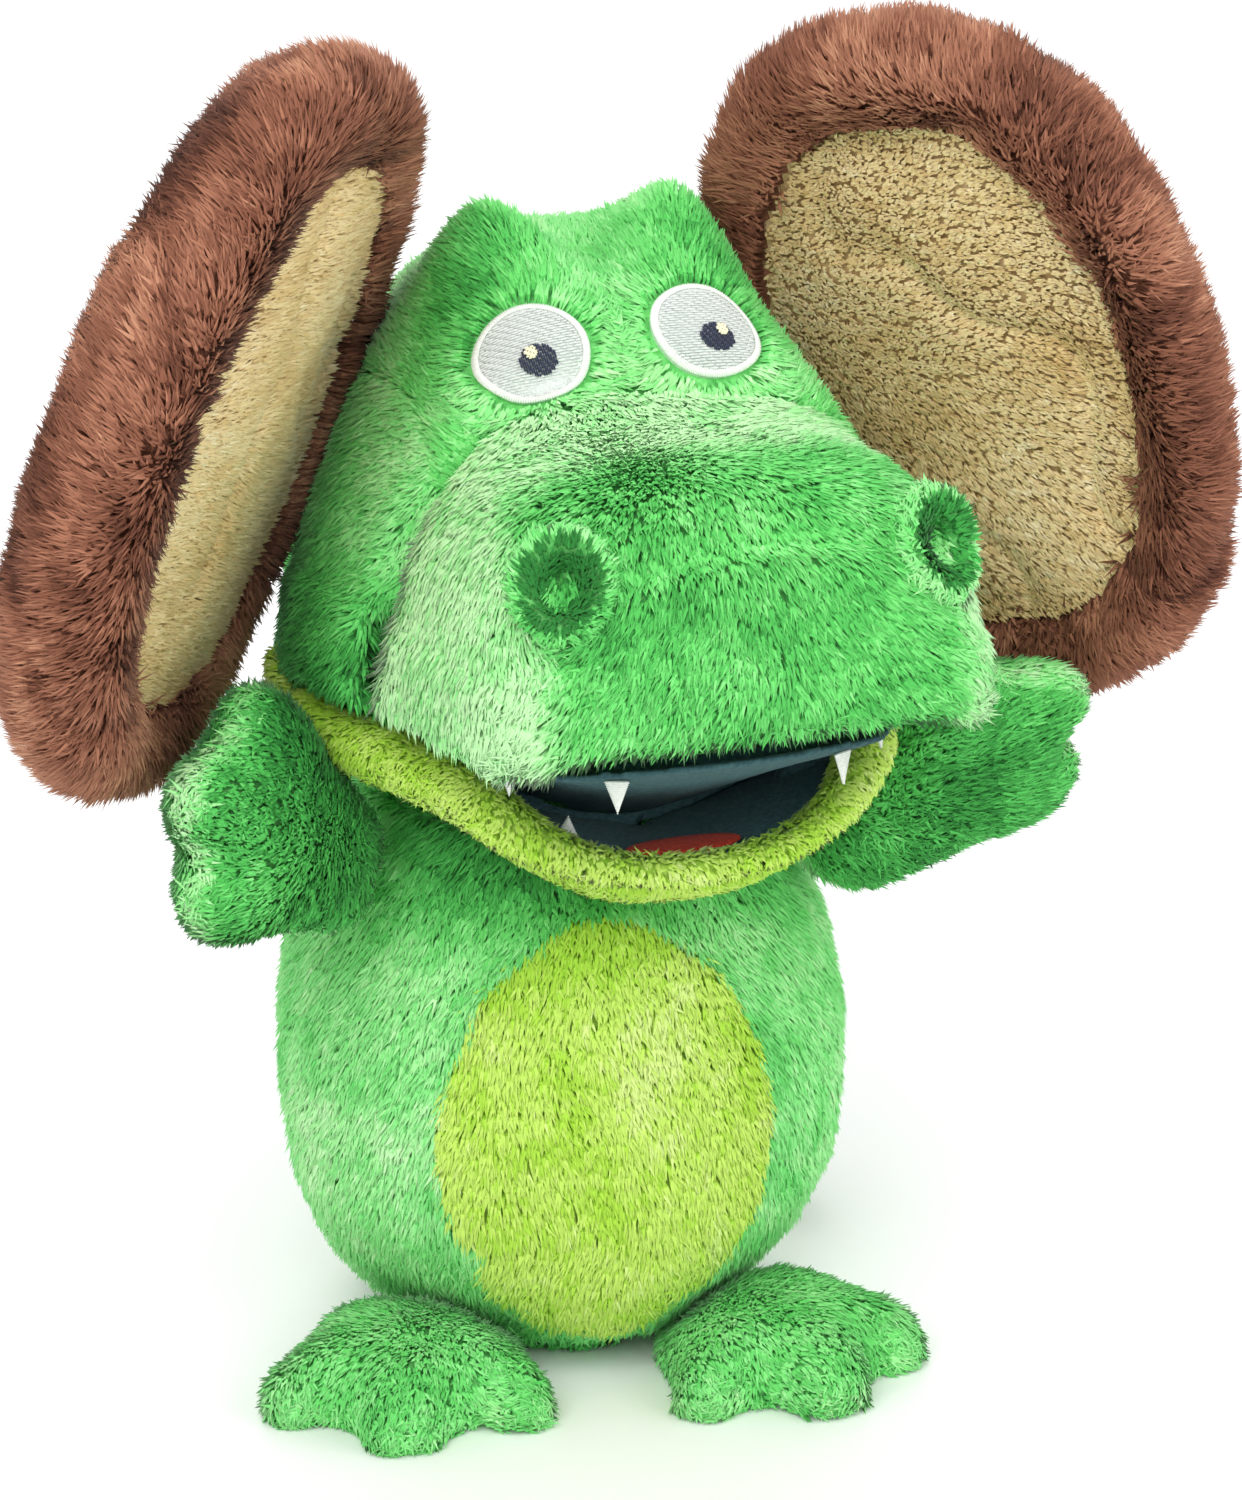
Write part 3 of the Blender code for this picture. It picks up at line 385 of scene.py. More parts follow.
def mesh_arrays(mesh):
    """Points, normals and triangles of a mesh."""
    points = np.empty(len(mesh.vertices) * 3)
    mesh.vertices.foreach_get("co", points)
    normals = np.empty(len(mesh.vertices) * 3)
    mesh.vertex_normals.foreach_get("vector", normals)
    mesh.calc_loop_triangles()
    faces = np.empty(len(mesh.loop_triangles) * 3, int)
    mesh.loop_triangles.foreach_get("vertices", faces)
    return points.reshape(-1, 3), normals.reshape(-1, 3), faces.reshape(-1, 3)


def scatter(piece):
    """Evenly spread places on the outside of a piece, with their normals."""
    points, normals, faces = mesh_arrays(piece.data)
    a, b, c = points[faces].transpose(1, 0, 2)
    area = np.linalg.norm(np.cross(b - a, c - a), axis=1) / 2
    count = int(area.sum() / MM**2 * PILE_PER_MM2)
    steps = (np.arange(count) + rng.random(count)) / count
    pick = faces[np.minimum(np.searchsorted(np.cumsum(area) / area.sum(), steps), len(faces) - 1)]
    u, v = np.sqrt(rng.random(count)), rng.random(count)
    share = np.column_stack([1 - u, u * (1 - v), u * v])[:, :, None]
    places = (points[pick] * share).sum(axis=1)
    upward = unit((normals[pick] * share).sum(axis=1))
    tree = BVHTree.FromPolygons(points.tolist(), faces.tolist())
    open_sky = [
        tree.ray_cast(Vector(p + 0.4 * MM * n), Vector(n), OPEN_AIR)[0] is None
        for p, n in zip(places, upward)
    ]
    return places[open_sky], upward[open_sky]


def nearest_distance(places, node):
    """How far each place is from a CAD node's surface."""
    mesh = frame["nodes"][node].data
    tree = BVHTree.FromPolygons([v.co for v in mesh.vertices], [p.vertices for p in mesh.polygons])
    return np.array([tree.find_nearest(Vector(p))[3] for p in places])


def nearest_node(places, nodes):
    """For each place, the index of the CAD node whose surface is nearest."""
    return np.argmin([nearest_distance(places, node) for node in nodes], axis=0)


def clump_centres(places):
    """For each place, the centre of the clump it belongs to and that clump's own number."""
    cells = np.floor(places / CLUMP).astype(np.int64)
    best = np.full(len(places), np.inf)
    centres = np.zeros_like(places)
    number = np.zeros(len(places))
    for step in itertools.product((-1, 0, 1), repeat=3):
        near = cells + np.array(step)
        shift = np.column_stack([hashed(near + 101 * k) for k in (1, 2, 3)])
        spot = (near + shift) * CLUMP
        away = np.linalg.norm(spot - places, axis=1)
        closer = away < best
        best[closer] = away[closer]
        centres[closer] = spot[closer]
        number[closer] = hashed(near[closer] + 977)
    return centres, number


def tuft_shapes(places, upward, comb, length, lean, wild, clumped):
    """The five corners of each tuft, their soft normals and the number of the tuft's clump.

    A tuft is a bent spike: its root, a ring of three corners round its middle, and its tip.
    """
    count = len(places)
    comb = comb + wild * swirl(places, 16 * MM, 3) + 0.5 * wild * swirl(places, 5 * MM, 9)
    comb = comb + 0.22 * rng.normal(size=(count, 3))
    comb = unit(comb - (comb * upward).sum(axis=1, keepdims=True) * upward)
    long = length * MM * (0.8 + 0.35 * rng.random(count) + 0.12 * cloud(places, 9 * MM, 5))[:, None]
    leaning = np.clip(lean + 0.10 * cloud(places, 20 * MM, 6) + 0.06 * rng.normal(size=count), 0.3, 0.94)
    leaning = leaning[:, None]
    rise = np.sqrt(1 - leaning**2)
    centres, number = clump_centres(places)
    gather = centres - places
    gather = gather - (gather * upward).sum(axis=1, keepdims=True) * upward
    tip = places + long * (comb * leaning + upward * rise) + clumped * gather
    middle = places + long * (comb * 0.40 * leaning + upward * (0.50 * rise + 0.08)) + 0.25 * gather
    root = places - 0.5 * MM * upward
    for rows in (tip, middle):
        rows[:, 2] = np.maximum(rows[:, 2], LOWEST_TUFT)
    axis = unit(tip - root)
    across = unit(np.cross(axis, upward))
    over = np.cross(axis, across)
    wide = TUFT_WIDTH * (0.8 + 0.5 * rng.random(count))[:, None]
    turns = (0.5, 2.6, 4.7)  # radians round the tuft, a third of a turn apart
    ring = [middle + wide * (math.cos(a) * across + 0.7 * math.sin(a) * over) for a in turns]
    corners = np.stack([root, *ring, tip], axis=1)
    round_ring = [0.8 * upward + 0.4 * unit(r - middle) for r in ring]
    soft = np.stack([upward, *round_ring, upward + 0.3 * axis], axis=1)
    return corners, soft, number


def tuft_shades(places, tone, number, shades):
    """Each tuft's shade, from its tone, large and small clouds of painted sheen, its clump and a difference
    of its own.
    """
    # the large and small clouds are painted light and shade: patches where the brushed pile catches or loses
    # the sheen
    value = 0.5 + 0.40 * tone + 0.16 * cloud(places, 22 * MM, 1) + 0.12 * cloud(places, 6 * MM, 2)
    value = value + 0.14 * (number - 0.5) + 0.05 * rng.normal(size=len(places))
    return np.clip(value * shades, 0.0, shades - 0.01).astype(int)


def pile(name, body, places, upward, comb, tone, colour, length=5.2, lean=0.88, wild=0.35, clumped=0.45):
    """Tufts on the given places. comb is where they lie, and tone from -1 to 1 how light they are, painted
    light and shade included.

    length is in millimetres, and lean is the share of it that lies along the surface. wild is how far the
    comb wanders, and clumped how far the tips gather. A large pile is split from bottom to top.
    """
    materials = PILES[colour]
    corners, soft, number = tuft_shapes(places, upward, comb, length, lean, wild, clumped)
    shade = tuft_shades(places, tone, number, len(materials))
    order = np.argsort(places @ np.array([0.3, 0.2, 0.9]), kind="stable")
    pieces = []
    parts = math.ceil(len(places) / MOST_TUFTS)
    for part, chosen in enumerate(np.array_split(order, parts), 1):
        label = name if parts == 1 else f"{name}_{part}"
        pieces.append(tuft_piece(label, corners[chosen], soft[chosen], shade[chosen], materials))
        if body is not None:
            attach(pieces[-1], body)
    return pieces


TUFT_FACES = np.array([(0, 2, 1), (0, 3, 2), (0, 1, 3), (1, 2, 4), (2, 3, 4), (3, 1, 4)])


def tuft_piece(name, corners, soft, shade, materials):
    """One mesh of many tufts. A tuft's lower half is one shade darker than its upper half, painted shade
    among the roots.
    """
    count = len(corners)
    faces = (np.arange(count)[:, None, None] * 5 + TUFT_FACES).reshape(-1, 3)
    mesh = bpy.data.meshes.new(name)
    mesh.vertices.add(count * 5)
    mesh.vertices.foreach_set("co", corners.astype(np.float32).ravel())
    mesh.loops.add(faces.size)
    mesh.loops.foreach_set("vertex_index", faces.astype(np.int32).ravel())
    mesh.polygons.add(len(faces))
    mesh.polygons.foreach_set("loop_start", np.arange(len(faces), dtype=np.int32) * 3)
    # painted shade: each tuft's three lower faces take the next darker shade
    slots = np.column_stack([np.maximum(shade - 1, 0)] * 3 + [shade] * 3).astype(np.int32)
    mesh.polygons.foreach_set("material_index", slots.ravel())
    mesh.update(calc_edges=True)
    mesh.shade_smooth()
    mesh.normals_split_custom_set_from_vertices(unit(soft).reshape(-1, 3).tolist())
    for material in materials:
        mesh.materials.append(material)
    piece = bpy.data.objects.new(name, mesh)
    bpy.context.scene.collection.objects.link(piece)
    return piece


# Body and neck -------------------------


def make_body():
    nodes = ["body_front_skin", "body_back_skin", "belly_patch"]
    inside = ["body_base_panel", "body_stuffing"]
    shell = backing("body_backing", nodes + inside + ["pellet_bag"], "green")
    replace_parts(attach(shell, "body"), *nodes, *inside)
    dye(shell, lambda middles: nearest_node(middles, nodes) == 2, BACKINGS["lime"])
    places, upward = scatter(shell)
    off_floor = ~((upward[:, 2] < -0.75) & (places[:, 2] < 9 * MM))
    places, upward = places[off_floor], upward[off_floor]
    which = nearest_node(places, nodes)
    down = -UP + 0.25 * unit(places * [1, 1, 0])
    height = places[:, 2] / MM
    # painted shade: the green is darker on the front under the jaw, and all round in the lowest 16 mm by the
    # floor
    green_tone_with_painted_shade = 0.42 - 0.85 * ease(height, 82, 108) * ease(-places[:, 1] / MM, 0, 30)
    green_tone_with_painted_shade = green_tone_with_painted_shade - 0.35 * ease(-height, -16, 0)
    # painted shadow: the belly's lime is darker at its top, under the jaw
    lime_tone_with_painted_shade = 0.5 - 0.75 * ease(height + 6 * cloud(places, 15 * MM, 4), 78, 96)
    groups = (
        ("front_pile", "green", 5.0, green_tone_with_painted_shade),
        ("back_pile", "green", 5.0, green_tone_with_painted_shade),
        ("belly_pile", "lime", 4.6, lime_tone_with_painted_shade),
    )
    for index, (name, colour, length, tone) in enumerate(groups):
        mine = which == index
        pile(name, "body", places[mine], upward[mine], down[mine], tone[mine], colour, length)


def make_neck():
    shell = backing("neck_backing", ["neck_skin", "neck_stuffing"], "green")
    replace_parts(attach(shell, "neck"), "neck_skin", "neck_stuffing")
    places, upward = scatter(shell)
    sides = np.abs(upward[:, 2]) < 0.7
    places, upward = places[sides], upward[sides]
    # painted shade: the neck's pile is darker all over, under the head
    tone = np.full(len(places), -0.5)
    pile("neck_pile", "neck", places, upward, np.tile(-UP, (len(places), 1)), tone, "green")


# Head ----------------------------------

SKINS = ["crown_skin", "cheek_left", "cheek_right", "snout_skin", "head_base_panel"]
CROWN, CHEEK_LEFT, CHEEK_RIGHT, SNOUT, BASE = range(5)
NOSTRILS = ["nostril_left", "nostril_right"]
EYE_SHARE = 0.88  # the embroidery's size beside the pad's, whose rim the pile hides
CREASE_AHEAD = in_head(node_points("snout_skin"))[1].min()


def eye_spot(name):
    """The middle of an embroidered eye, its outward direction and its half-sizes across and up."""
    points = node_points(f"eye_{name}")
    middle = points.mean(axis=0)
    across, up, out = np.linalg.svd(points - middle)[2]
    if out @ (middle - from_head(0, 20, 190)) < 0:
        out = -out
    across = unit(HEAD_SIDE - (HEAD_SIDE @ out) * out)
    up = np.cross(out, across)
    reach = points - middle
    half = EYE_SHARE * np.abs(reach @ across).max(), EYE_SHARE * np.abs(reach @ up).max()
    if name == "right":
        middle = middle - 2.0 * MM * across
    return middle, out, across, up * np.sign(up[2]), half


EYES = {name: eye_spot(name) for name in ("left", "right")}


def around_eyes(places):
    """Distance from each eye's middle in eye radii, and the direction away from the nearer eye."""
    nearest = np.full(len(places), np.inf)
    away = np.zeros_like(places)
    for middle, out, across, up, (wide, tall) in EYES.values():
        reach = places - middle
        size = np.hypot(reach @ across / wide, reach @ up / tall)
        size = np.where(np.abs(reach @ out) < 9 * MM, size, np.inf)
        closer = size < nearest
        nearest[closer] = size[closer]
        away[closer] = unit(reach[closer])
    return nearest, away


def spot(side, ahead, at, size):
    """1 at one place of the head seen from above, fading away over the given sizes."""
    return np.exp(-(((side - at[0]) / size[0]) ** 2 + ((ahead - at[1]) / size[1]) ** 2))


def head_tone_with_painted_light(places, upward, which):
    """How light the head's pile is, with painted light and shade: mint painted light along the snout's sides
    and top, painted shade over the eyes, low on the cheeks and under the head.
    """
    side, ahead, height = in_head(places)
    # painted shade low on the crown, and in a patch over each eye
    crown = 0.45 - 0.45 * ease(-height, -205, -185)
    for over_eye in (-25, 23):
        crown = crown - 0.9 * spot(side, ahead, (over_eye, 27), (11, 8))
    # painted shade low on the cheeks and towards their backs
    cheek = 0.60 - 1.15 * ease(-height, -205, -150) - 0.35 * ease(-ahead, -20, 20)
    # painted light along the snout's sides and over its top, with one patch of painted shade on its side
    flank = ease(np.abs(side), 33, 42)
    top = ease(upward[:, 2], 0.35, 0.75) * ease(-ahead, -90, -70)
    snout = -0.12 + 0.95 * np.maximum(flank, top)
    snout = snout - 0.5 * spot(side, ahead, (33, 80), (12, 8))
    snout = snout + 0.4 * spot(side, ahead, (0, 84), (22, 12)) * ease(upward[:, 2], 0.3, 0.7)
    # painted shade under the head
    under = np.full(len(places), -0.45)
    return np.choose(which, [crown, cheek, cheek, snout, under])


def head_comb(places, which):
    """Where the head's pile lies: back over the crown, down the cheeks and away from the eyes."""
    side = in_head(places)[0]
    crown = np.outer(0.5 * side / 40, HEAD_SIDE) + 0.35 * UP - 0.9 * HEAD_AHEAD
    cheek = -0.8 * UP - 0.5 * HEAD_AHEAD
    snout = 0.8 * HEAD_AHEAD - 0.7 * UP + np.outer(side / 45, HEAD_SIDE)
    comb = np.where((which == CROWN)[:, None], crown, np.where((which == SNOUT)[:, None], snout, cheek))
    size, away = around_eyes(places)
    near = (1 - ease(size, 1.0, 1.9))[:, None]
    return comb * (1 - near) + 1.6 * near * away


def underside():
    """A rounded block that closes the head between the cheeks and the base panel."""
    points = node_points("head_base_panel", "cheek_left", "cheek_right")
    side, ahead, height = in_head(points)
    low = (height < 151) & (np.abs(side) < 56) & (ahead > -34)
    return hull_of(points[low].tolist())


def furrow(shell):
    """Press in the crease between the brow and the snout, the snout's dart and the dip between the brows."""
    points, normals, _ = mesh_arrays(shell.data)
    side, ahead, height = in_head(points)
    wave = 2.0 * np.sin(side / 11)
    crease = 1.9 * bump(ahead - CREASE_AHEAD, wave, 3.2) * ease(height, 150, 165)
    dart = bump(side, -33, 2.4) * ease(ahead, 96, 102) * ease(-height, -178, -168)
    deep = crease + 1.3 * dart * ease(height, 154, 162)
    between = bump(side, 0, 8) - 0.22 * bump(np.abs(side), 21, 9)
    dip = 7.0 * between * bump(ahead, 14, 17) * ease(height, 195, 215)
    move_vertices(shell.data, points - normals * deep[:, None] * MM - np.outer(dip * MM, UP))


def inside_mouth(places):
    side, ahead, height = in_head(places)
    return (ahead > 16) & (ahead < 97) & (np.abs(side) < 50) & (height < 149)


def bare_places(places, upward):
    """Where the head has no pile: round the hand's opening, in the mouth, on the neck and on the eyes."""
    side, ahead, height = in_head(places)
    opening = (np.abs(side) < 33) & (height > 148) & (height < 192) & (ahead < -34)
    mouth = (height < 152.5) & (ahead > 40) & (upward[:, 2] < -0.3)
    neck = (np.hypot(side, ahead) < 31) & (height < 140)
    eyes = around_eyes(places)[0] < 1.0
    return opening | mouth | neck | eyes


def shape_nostrils(places, upward, which, tone, comb):
    """Comb the pile away from each nostril's middle, with painted shade in the hollow inside and lighter
    pile outside.
    """
    for index, name in enumerate(NOSTRILS):
        near = which == len(SKINS) + index
        out = unit(places - node_points(name).mean(axis=0))
        comb[near] = 0.9 * out[near] + 0.3 * UP
        inner = near & ((upward * out).sum(axis=1) < 0.1)
        # painted shade in each nostril's hollow
        tone[inner] = -1.1
        tone[near & ~inner] = 0.35


def make_head():
    nodes = SKINS + NOSTRILS
    inside = ["head_stuffing", "snout_stuffing"]
    shell = backing("head_backing", nodes + inside, "green", extra=underside(), rounds=10)
    furrow(shell)
    with_pockets = nodes + ["hand_sleeve", "finger_pocket"]
    dye(shell, lambda middles: nearest_node(middles, with_pockets) >= len(nodes), LINING)
    dye(shell, inside_mouth, FELT)
    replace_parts(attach(shell, "head"), *nodes, *inside)
    places, upward = scatter(shell)
    keep = ~bare_places(places, upward)
    places, upward = places[keep], upward[keep]
    which = nearest_node(places, with_pockets)
    outside = which < len(nodes)
    places, upward, which = places[outside], upward[outside], which[outside]
    flap = which >= len(SKINS)
    skin = np.where(flap, SNOUT, which)
    tone, comb = head_tone_with_painted_light(places, upward, skin), head_comb(places, skin)
    shape_nostrils(places, upward, which, tone, comb)
    groups = {
        "crown_pile": skin == CROWN,
        "cheek_left_pile": skin == CHEEK_LEFT,
        "cheek_right_pile": skin == CHEEK_RIGHT,
        "snout_pile": (skin == SNOUT) & ~flap,
        "nostril_pile": flap,
        "underside_pile": skin == BASE,
    }
    for name, mine in groups.items():
        length = 3.2 if name == "nostril_pile" else 4.8
        pile(name, "head", places[mine], upward[mine], comb[mine], tone[mine], "green", length)
    return shell


# Mouth ---------------------------------


def softened(node, name, material, body):
    """A CAD sheet of felt made smooth."""
    mesh = frame["nodes"][node].data.copy()
    mesh.name = name
    piece = bpy.data.objects.new(name, mesh)
    bpy.context.scene.collection.objects.link(piece)
    weld = piece.modifiers.new("weld", "WELD")
    weld.merge_threshold = 0.02 * MM
    finer = piece.modifiers.new("finer", "SUBSURF")
    finer.levels = finer.render_levels = 2
    apply_modifiers(piece)
    piece.data.materials.clear()
    piece.data.materials.append(material)
    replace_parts(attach(piece, body), node)


def ring_faces(rings, sides):
    """The quads between closed rings of corners that follow one another."""
    faces = []
    for i in range(rings - 1):
        for j in range(sides):
            k = (j + 1) % sides
            faces.append((i * sides + j, i * sides + k, (i + 1) * sides + k, (i + 1) * sides + j))
    return faces


def tube(name, path, radii, material, sides=14):
    """A closed roll along a path, thinner towards its ends."""
    along = unit(np.gradient(path, axis=0))
    across = unit(np.cross(along, UP))
    over = np.cross(across, along)
    angles = np.arange(sides) * 2 * math.pi / sides
    rings = [
        path + radii[:, None] * (math.cos(a) * across + math.sin(a) * over) for a in angles
    ]
    points = np.stack(rings, axis=1).reshape(-1, 3).tolist()
    count = len(path)
    faces = ring_faces(count, sides)
    points += [path[0] - along[0] * radii[0] * 0.6, path[-1] + along[-1] * radii[-1] * 0.6]
    for j in range(sides):
        k = (j + 1) % sides
        faces.append((len(points) - 2, k, j))
        faces.append((len(points) - 1, (count - 1) * sides + j, (count - 1) * sides + k))
    return new_piece(name, points, faces, [material], outward=True)


def joint_ahead():
    """How far ahead of the head's axis the jaw's hinge lies, in millimetres."""
    return in_head(np.array([joint("jaw_open")["pos_m"]]))[1][0]


def lip_path():
    """The middle of the lime lip: up one cheek, round the jaw's rim and up the other cheek."""
    sides = []
    for name in ("lip_band_left", "lip_band_right"):
        points = node_points(name)
        ahead = np.round(in_head(points)[1], 1)
        sides.append([points[ahead == a].mean(axis=0) for a in np.unique(ahead)[1:-1]])
    rim = node_points("jaw_skin")
    side, ahead, _ = in_head(rim)
    bins = np.round(np.degrees(np.arctan2(side, ahead - joint_ahead())) / 15)
    front = []
    for spot in np.unique(bins):
        mine = rim[bins == spot]
        out = np.hypot(side[bins == spot], ahead[bins == spot] - joint_ahead())
        front.append(mine[np.argmax(out)])
    front = front[1:-1]
    corners = [from_head(side, 8, 147) for side in (-60, 60)]
    return through([corners[0], *sides[0], *front, *sides[1][::-1], corners[1]], 180)


def make_lip():
    """A lime roll, lower and thinner at the front, that runs between the head and the jaw."""
    path = lip_path()
    for _ in range(6):
        path[1:-1] = (path[:-2] + 2 * path[1:-1] + path[2:]) / 4
    from_front = np.abs(np.linspace(-1, 1, len(path)))
    path[:, 2] -= 1.4 * MM * (1 - ease(from_front, 0.2, 0.6))
    ends = np.sqrt(np.clip(1 - from_front**14, 0.08, 1))
    wide = 3.3 * ease(from_front, 0.1, 0.55) - 1.2 * ease(from_front, 0.72, 0.95)
    radii = (1.7 + wide) * MM * ends
    roll = tube("lip_roll", path, radii, BACKINGS["lime"])
    places, upward = scatter(roll)
    outward = unit(places - from_head(0, 40, 0)) * [1, 1, 0]
    comb = 0.9 * outward - 0.5 * UP
    # painted light on the lip's outer side and painted shade on its side towards the mouth
    tone = 0.25 + 0.5 * (upward * outward).sum(axis=1)
    piles = pile("lip_pile", None, places, upward, comb, tone, "lime", 2.9, clumped=0.3)
    for piece in (roll, *piles):
        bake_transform(piece)
    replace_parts(roll, "lip_band_left", "lip_band_right")


def make_jaw():
    nodes = ["jaw_skin", "lower_mouth_plate", "thumb_pocket"]
    shell = backing("jaw_backing", nodes, "lime", voxel=1.5 * MM, depth=0.3 * MM)
    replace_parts(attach(shell, "jaw"), "jaw_skin")
    places, upward = scatter(shell)
    below = upward[:, 2] < 0.25
    places, upward = places[below], upward[below]
    comb = -UP + 0.8 * unit((places - from_head(0, 50, 0)) * [1, 1, 0])
    pile("jaw_pile", "jaw", places, upward, comb, np.zeros(len(places)), "lime", 2.6)


def rear_outline(node):
    """The edge of a mouth lining from one corner of the mouth round its fold to the other."""
    points = node_points(node)
    side, ahead, _ = in_head(points)
    behind = joint_ahead() + 14 - ahead
    bins = np.round(np.degrees(np.arctan2(side, behind)) / 12)
    out = np.hypot(side, behind)
    rim = [points[bins == b][np.argmax(out[bins == b])] for b in range(-8, 9) if (bins == b).any()]
    return through(rim, 60)


def make_fold():
    """The felt that joins the two halves of the mouth along its fold."""
    top, bottom = rear_outline("upper_mouth_lining"), rear_outline("lower_mouth_lining")
    back = -1.6 * MM * HEAD_AHEAD
    middle = (top + bottom) / 2 + back
    sheet = np.stack([top, middle, bottom])
    thick = sheet + back
    points = np.concatenate([sheet.reshape(-1, 3), thick.reshape(-1, 3)])
    faces = []
    count = sheet.shape[1]
    half = 3 * count
    for i in range(2):
        for j in range(count - 1):
            a = i * count + j
            quad = (a, a + 1, a + count + 1, a + count)
            faces += [quad, tuple(half + k for k in reversed(quad))]
    rim = list(range(count)) + [2 * count - 1] + list(range(3 * count - 1, 2 * count - 1, -1)) + [count]
    for a, b in zip(rim, rim[1:] + rim[:1]):
        faces.append((b, a, a + half, b + half))
    piece = new_piece("felt_fold", points, faces, [FELT_LIGHTENED], outward=True)
    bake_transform(piece)


def make_roof():
    """The felt over the upper mouth plate, turned up at its edges behind the lip's pile."""
    sheets = ["upper_mouth_lining", "upper_mouth_plate"]
    roof = backing("felt_roof", sheets, "green", voxel=1.1 * MM, rounds=6, depth=0)
    roof.data.materials[0] = FELT
    points, _, _ = mesh_arrays(roof.data)
    side, ahead, height = in_head(points)
    hinge = joint_ahead()
    wider = from_head(side * 1.07, hinge + (ahead - hinge) * 1.04, height)
    move_vertices(roof.data, wider)
    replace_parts(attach(roof, "head"), *sheets)


# Embroidery ----------------------------

EYE_RISE = 1.1 * MM  # how far an eye's pad stands over the head's backing
THREAD = 0.42 * MM  # a tooth's threads: how far apart they lie, and their radius


def stitches(name, starts, ends, out, radius, material, sides=5):
    """Laid threads: one rounded closed spindle from each start to each end."""
    starts, ends = np.asarray(starts, float), np.asarray(ends, float)
    out = np.broadcast_to(out, starts.shape)
    along = unit(ends - starts)
    across = unit(np.cross(along, out))
    over = np.cross(across, along)
    count = len(starts)
    angles = np.arange(sides) * 2 * math.pi / sides
    rings = []
    for share, size in ((0.10, 0.8), (0.5, 1.0), (0.90, 0.8)):
        spot = starts + share * (ends - starts) + out * radius * 0.25 * (1 - abs(2 * share - 1))
        rings.append(
            np.stack([spot + size * radius * (math.cos(a) * across + math.sin(a) * over) for a in angles], 1)
        )
    points = np.concatenate([starts[:, None], *rings, ends[:, None]], axis=1)
    faces = []
    last = 1 + 3 * sides
    for j in range(sides):
        k = (j + 1) % sides
        faces += [(0, 1 + k, 1 + j), (last, last - sides + j, last - sides + k)]
        for row in (1, 1 + sides):
            faces += [(row + j, row + k, row + sides + k), (row + j, row + sides + k, row + sides + j)]
    faces = (np.arange(count)[:, None, None] * (last + 1) + np.array(faces)).reshape(-1, 3)
    return new_piece(name, points.reshape(-1, 3).tolist(), faces.tolist(), [material], outward=True)


def oval_fill(middle, across, up, half, pitch, long):
    """Rows of broken stitches that fill an oval, as starts and ends."""
    starts, ends = [], []
    rows = int(2 * half[1] / pitch)
    for row in range(rows):
        height = -half[1] + (row + 0.5) * pitch
        reach = half[0] * math.sqrt(max(1 - (height / half[1]) ** 2, 0))
        shift = (row % 3) * long / 3
        left = -reach
        while left < reach - 0.3 * long:
            right = min((math.floor((left + shift) / long + 1e-6) + 1) * long - shift, reach)
            if right - left > 0.25 * long:
                starts.append(middle + left * across + height * up)
                ends.append(middle + right * across + height * up)
            left = max(right, left + 0.2 * long)
    return np.array(starts), np.array(ends)


def draped(points, tree, out, rise):
    """Points moved along a direction onto a surface, then lifted off it."""
    moved = []
    for point in points:
        hit = tree.ray_cast(Vector(point + 15 * MM * out), Vector(-out), 30 * MM)[0]
        moved.append(np.array(hit) + rise * out if hit is not None else point)
    return np.array(moved)


def embroider(name, ends, tree, out, rises, radius, material):
    """Threads between two rows of places, each row laid over the eye's pad by its own rise.

    rises and radius are in millimetres.
    """
    starts, stops = (draped(row, tree, out, EYE_RISE + rise * MM) for row, rise in zip(ends, rises))
    threads = stitches(name, starts, stops, out, radius * MM, material)
    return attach(threads, "head")


def make_eye_pad(name, tree):
    """The closed oval pad under an eye's threads. Its rings run from under its rim to near its middle."""
    middle, out, across, up, (wide, tall) = EYES[name]
    angles = np.linspace(0, 2 * math.pi, 72, endpoint=False)
    spokes = [wide * math.cos(a) * across + tall * math.sin(a) * up for a in angles]
    rings = []
    for size, lift in ((1.0, 0.2), (1.0, 0.9), (0.95, 1.0), (0.6, 1.0), (0.25, 1.0)):
        rings.append(draped([middle + size * spoke for spoke in spokes], tree, out, EYE_RISE * lift))
    rings = [rings[0] - out * 1.5 * MM, *rings]
    top = draped([middle], tree, out, EYE_RISE)[0]
    corners = [*np.concatenate(rings).tolist(), top, top - out * 3.5 * MM]
    count = len(angles)
    faces = ring_faces(len(rings), count)
    last_ring = (len(rings) - 1) * count
    for j in range(count):
        k = (j + 1) % count
        faces.append((len(corners) - 2, last_ring + j, last_ring + k))
        faces.append((len(corners) - 1, k, j))
    pad = new_piece(f"eye_{name}_base", corners, faces, [GREY_THREAD], outward=True)
    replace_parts(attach(pad, "head"), f"eye_{name}")


def make_eye(name, tree):
    """An eye: a pad, rows of grey-white threads, a raised white rim, the pupil and its light."""
    make_eye_pad(name, tree)
    middle, out, across, up, (wide, tall) = EYES[name]
    rows = oval_fill(middle, across, up, (wide * 0.90, tall * 0.90), 0.55 * MM, 2.4 * MM)
    embroider(f"eye_{name}_fill", rows, tree, out, (0.1, 0.1), 0.26, GREY_THREAD)
    turns = np.linspace(0, 2 * math.pi, 150, endpoint=False)
    spokes = [math.cos(a) * wide * across + math.sin(a) * tall * up for a in turns]
    rim = [[middle + size * spoke for spoke in spokes] for size in (0.90, 1.04)]
    embroider(f"eye_{name}_rim", rim, tree, out, (0.25, -0.1), 0.30, WHITE_THREAD)
    make_pupil(name, tree)


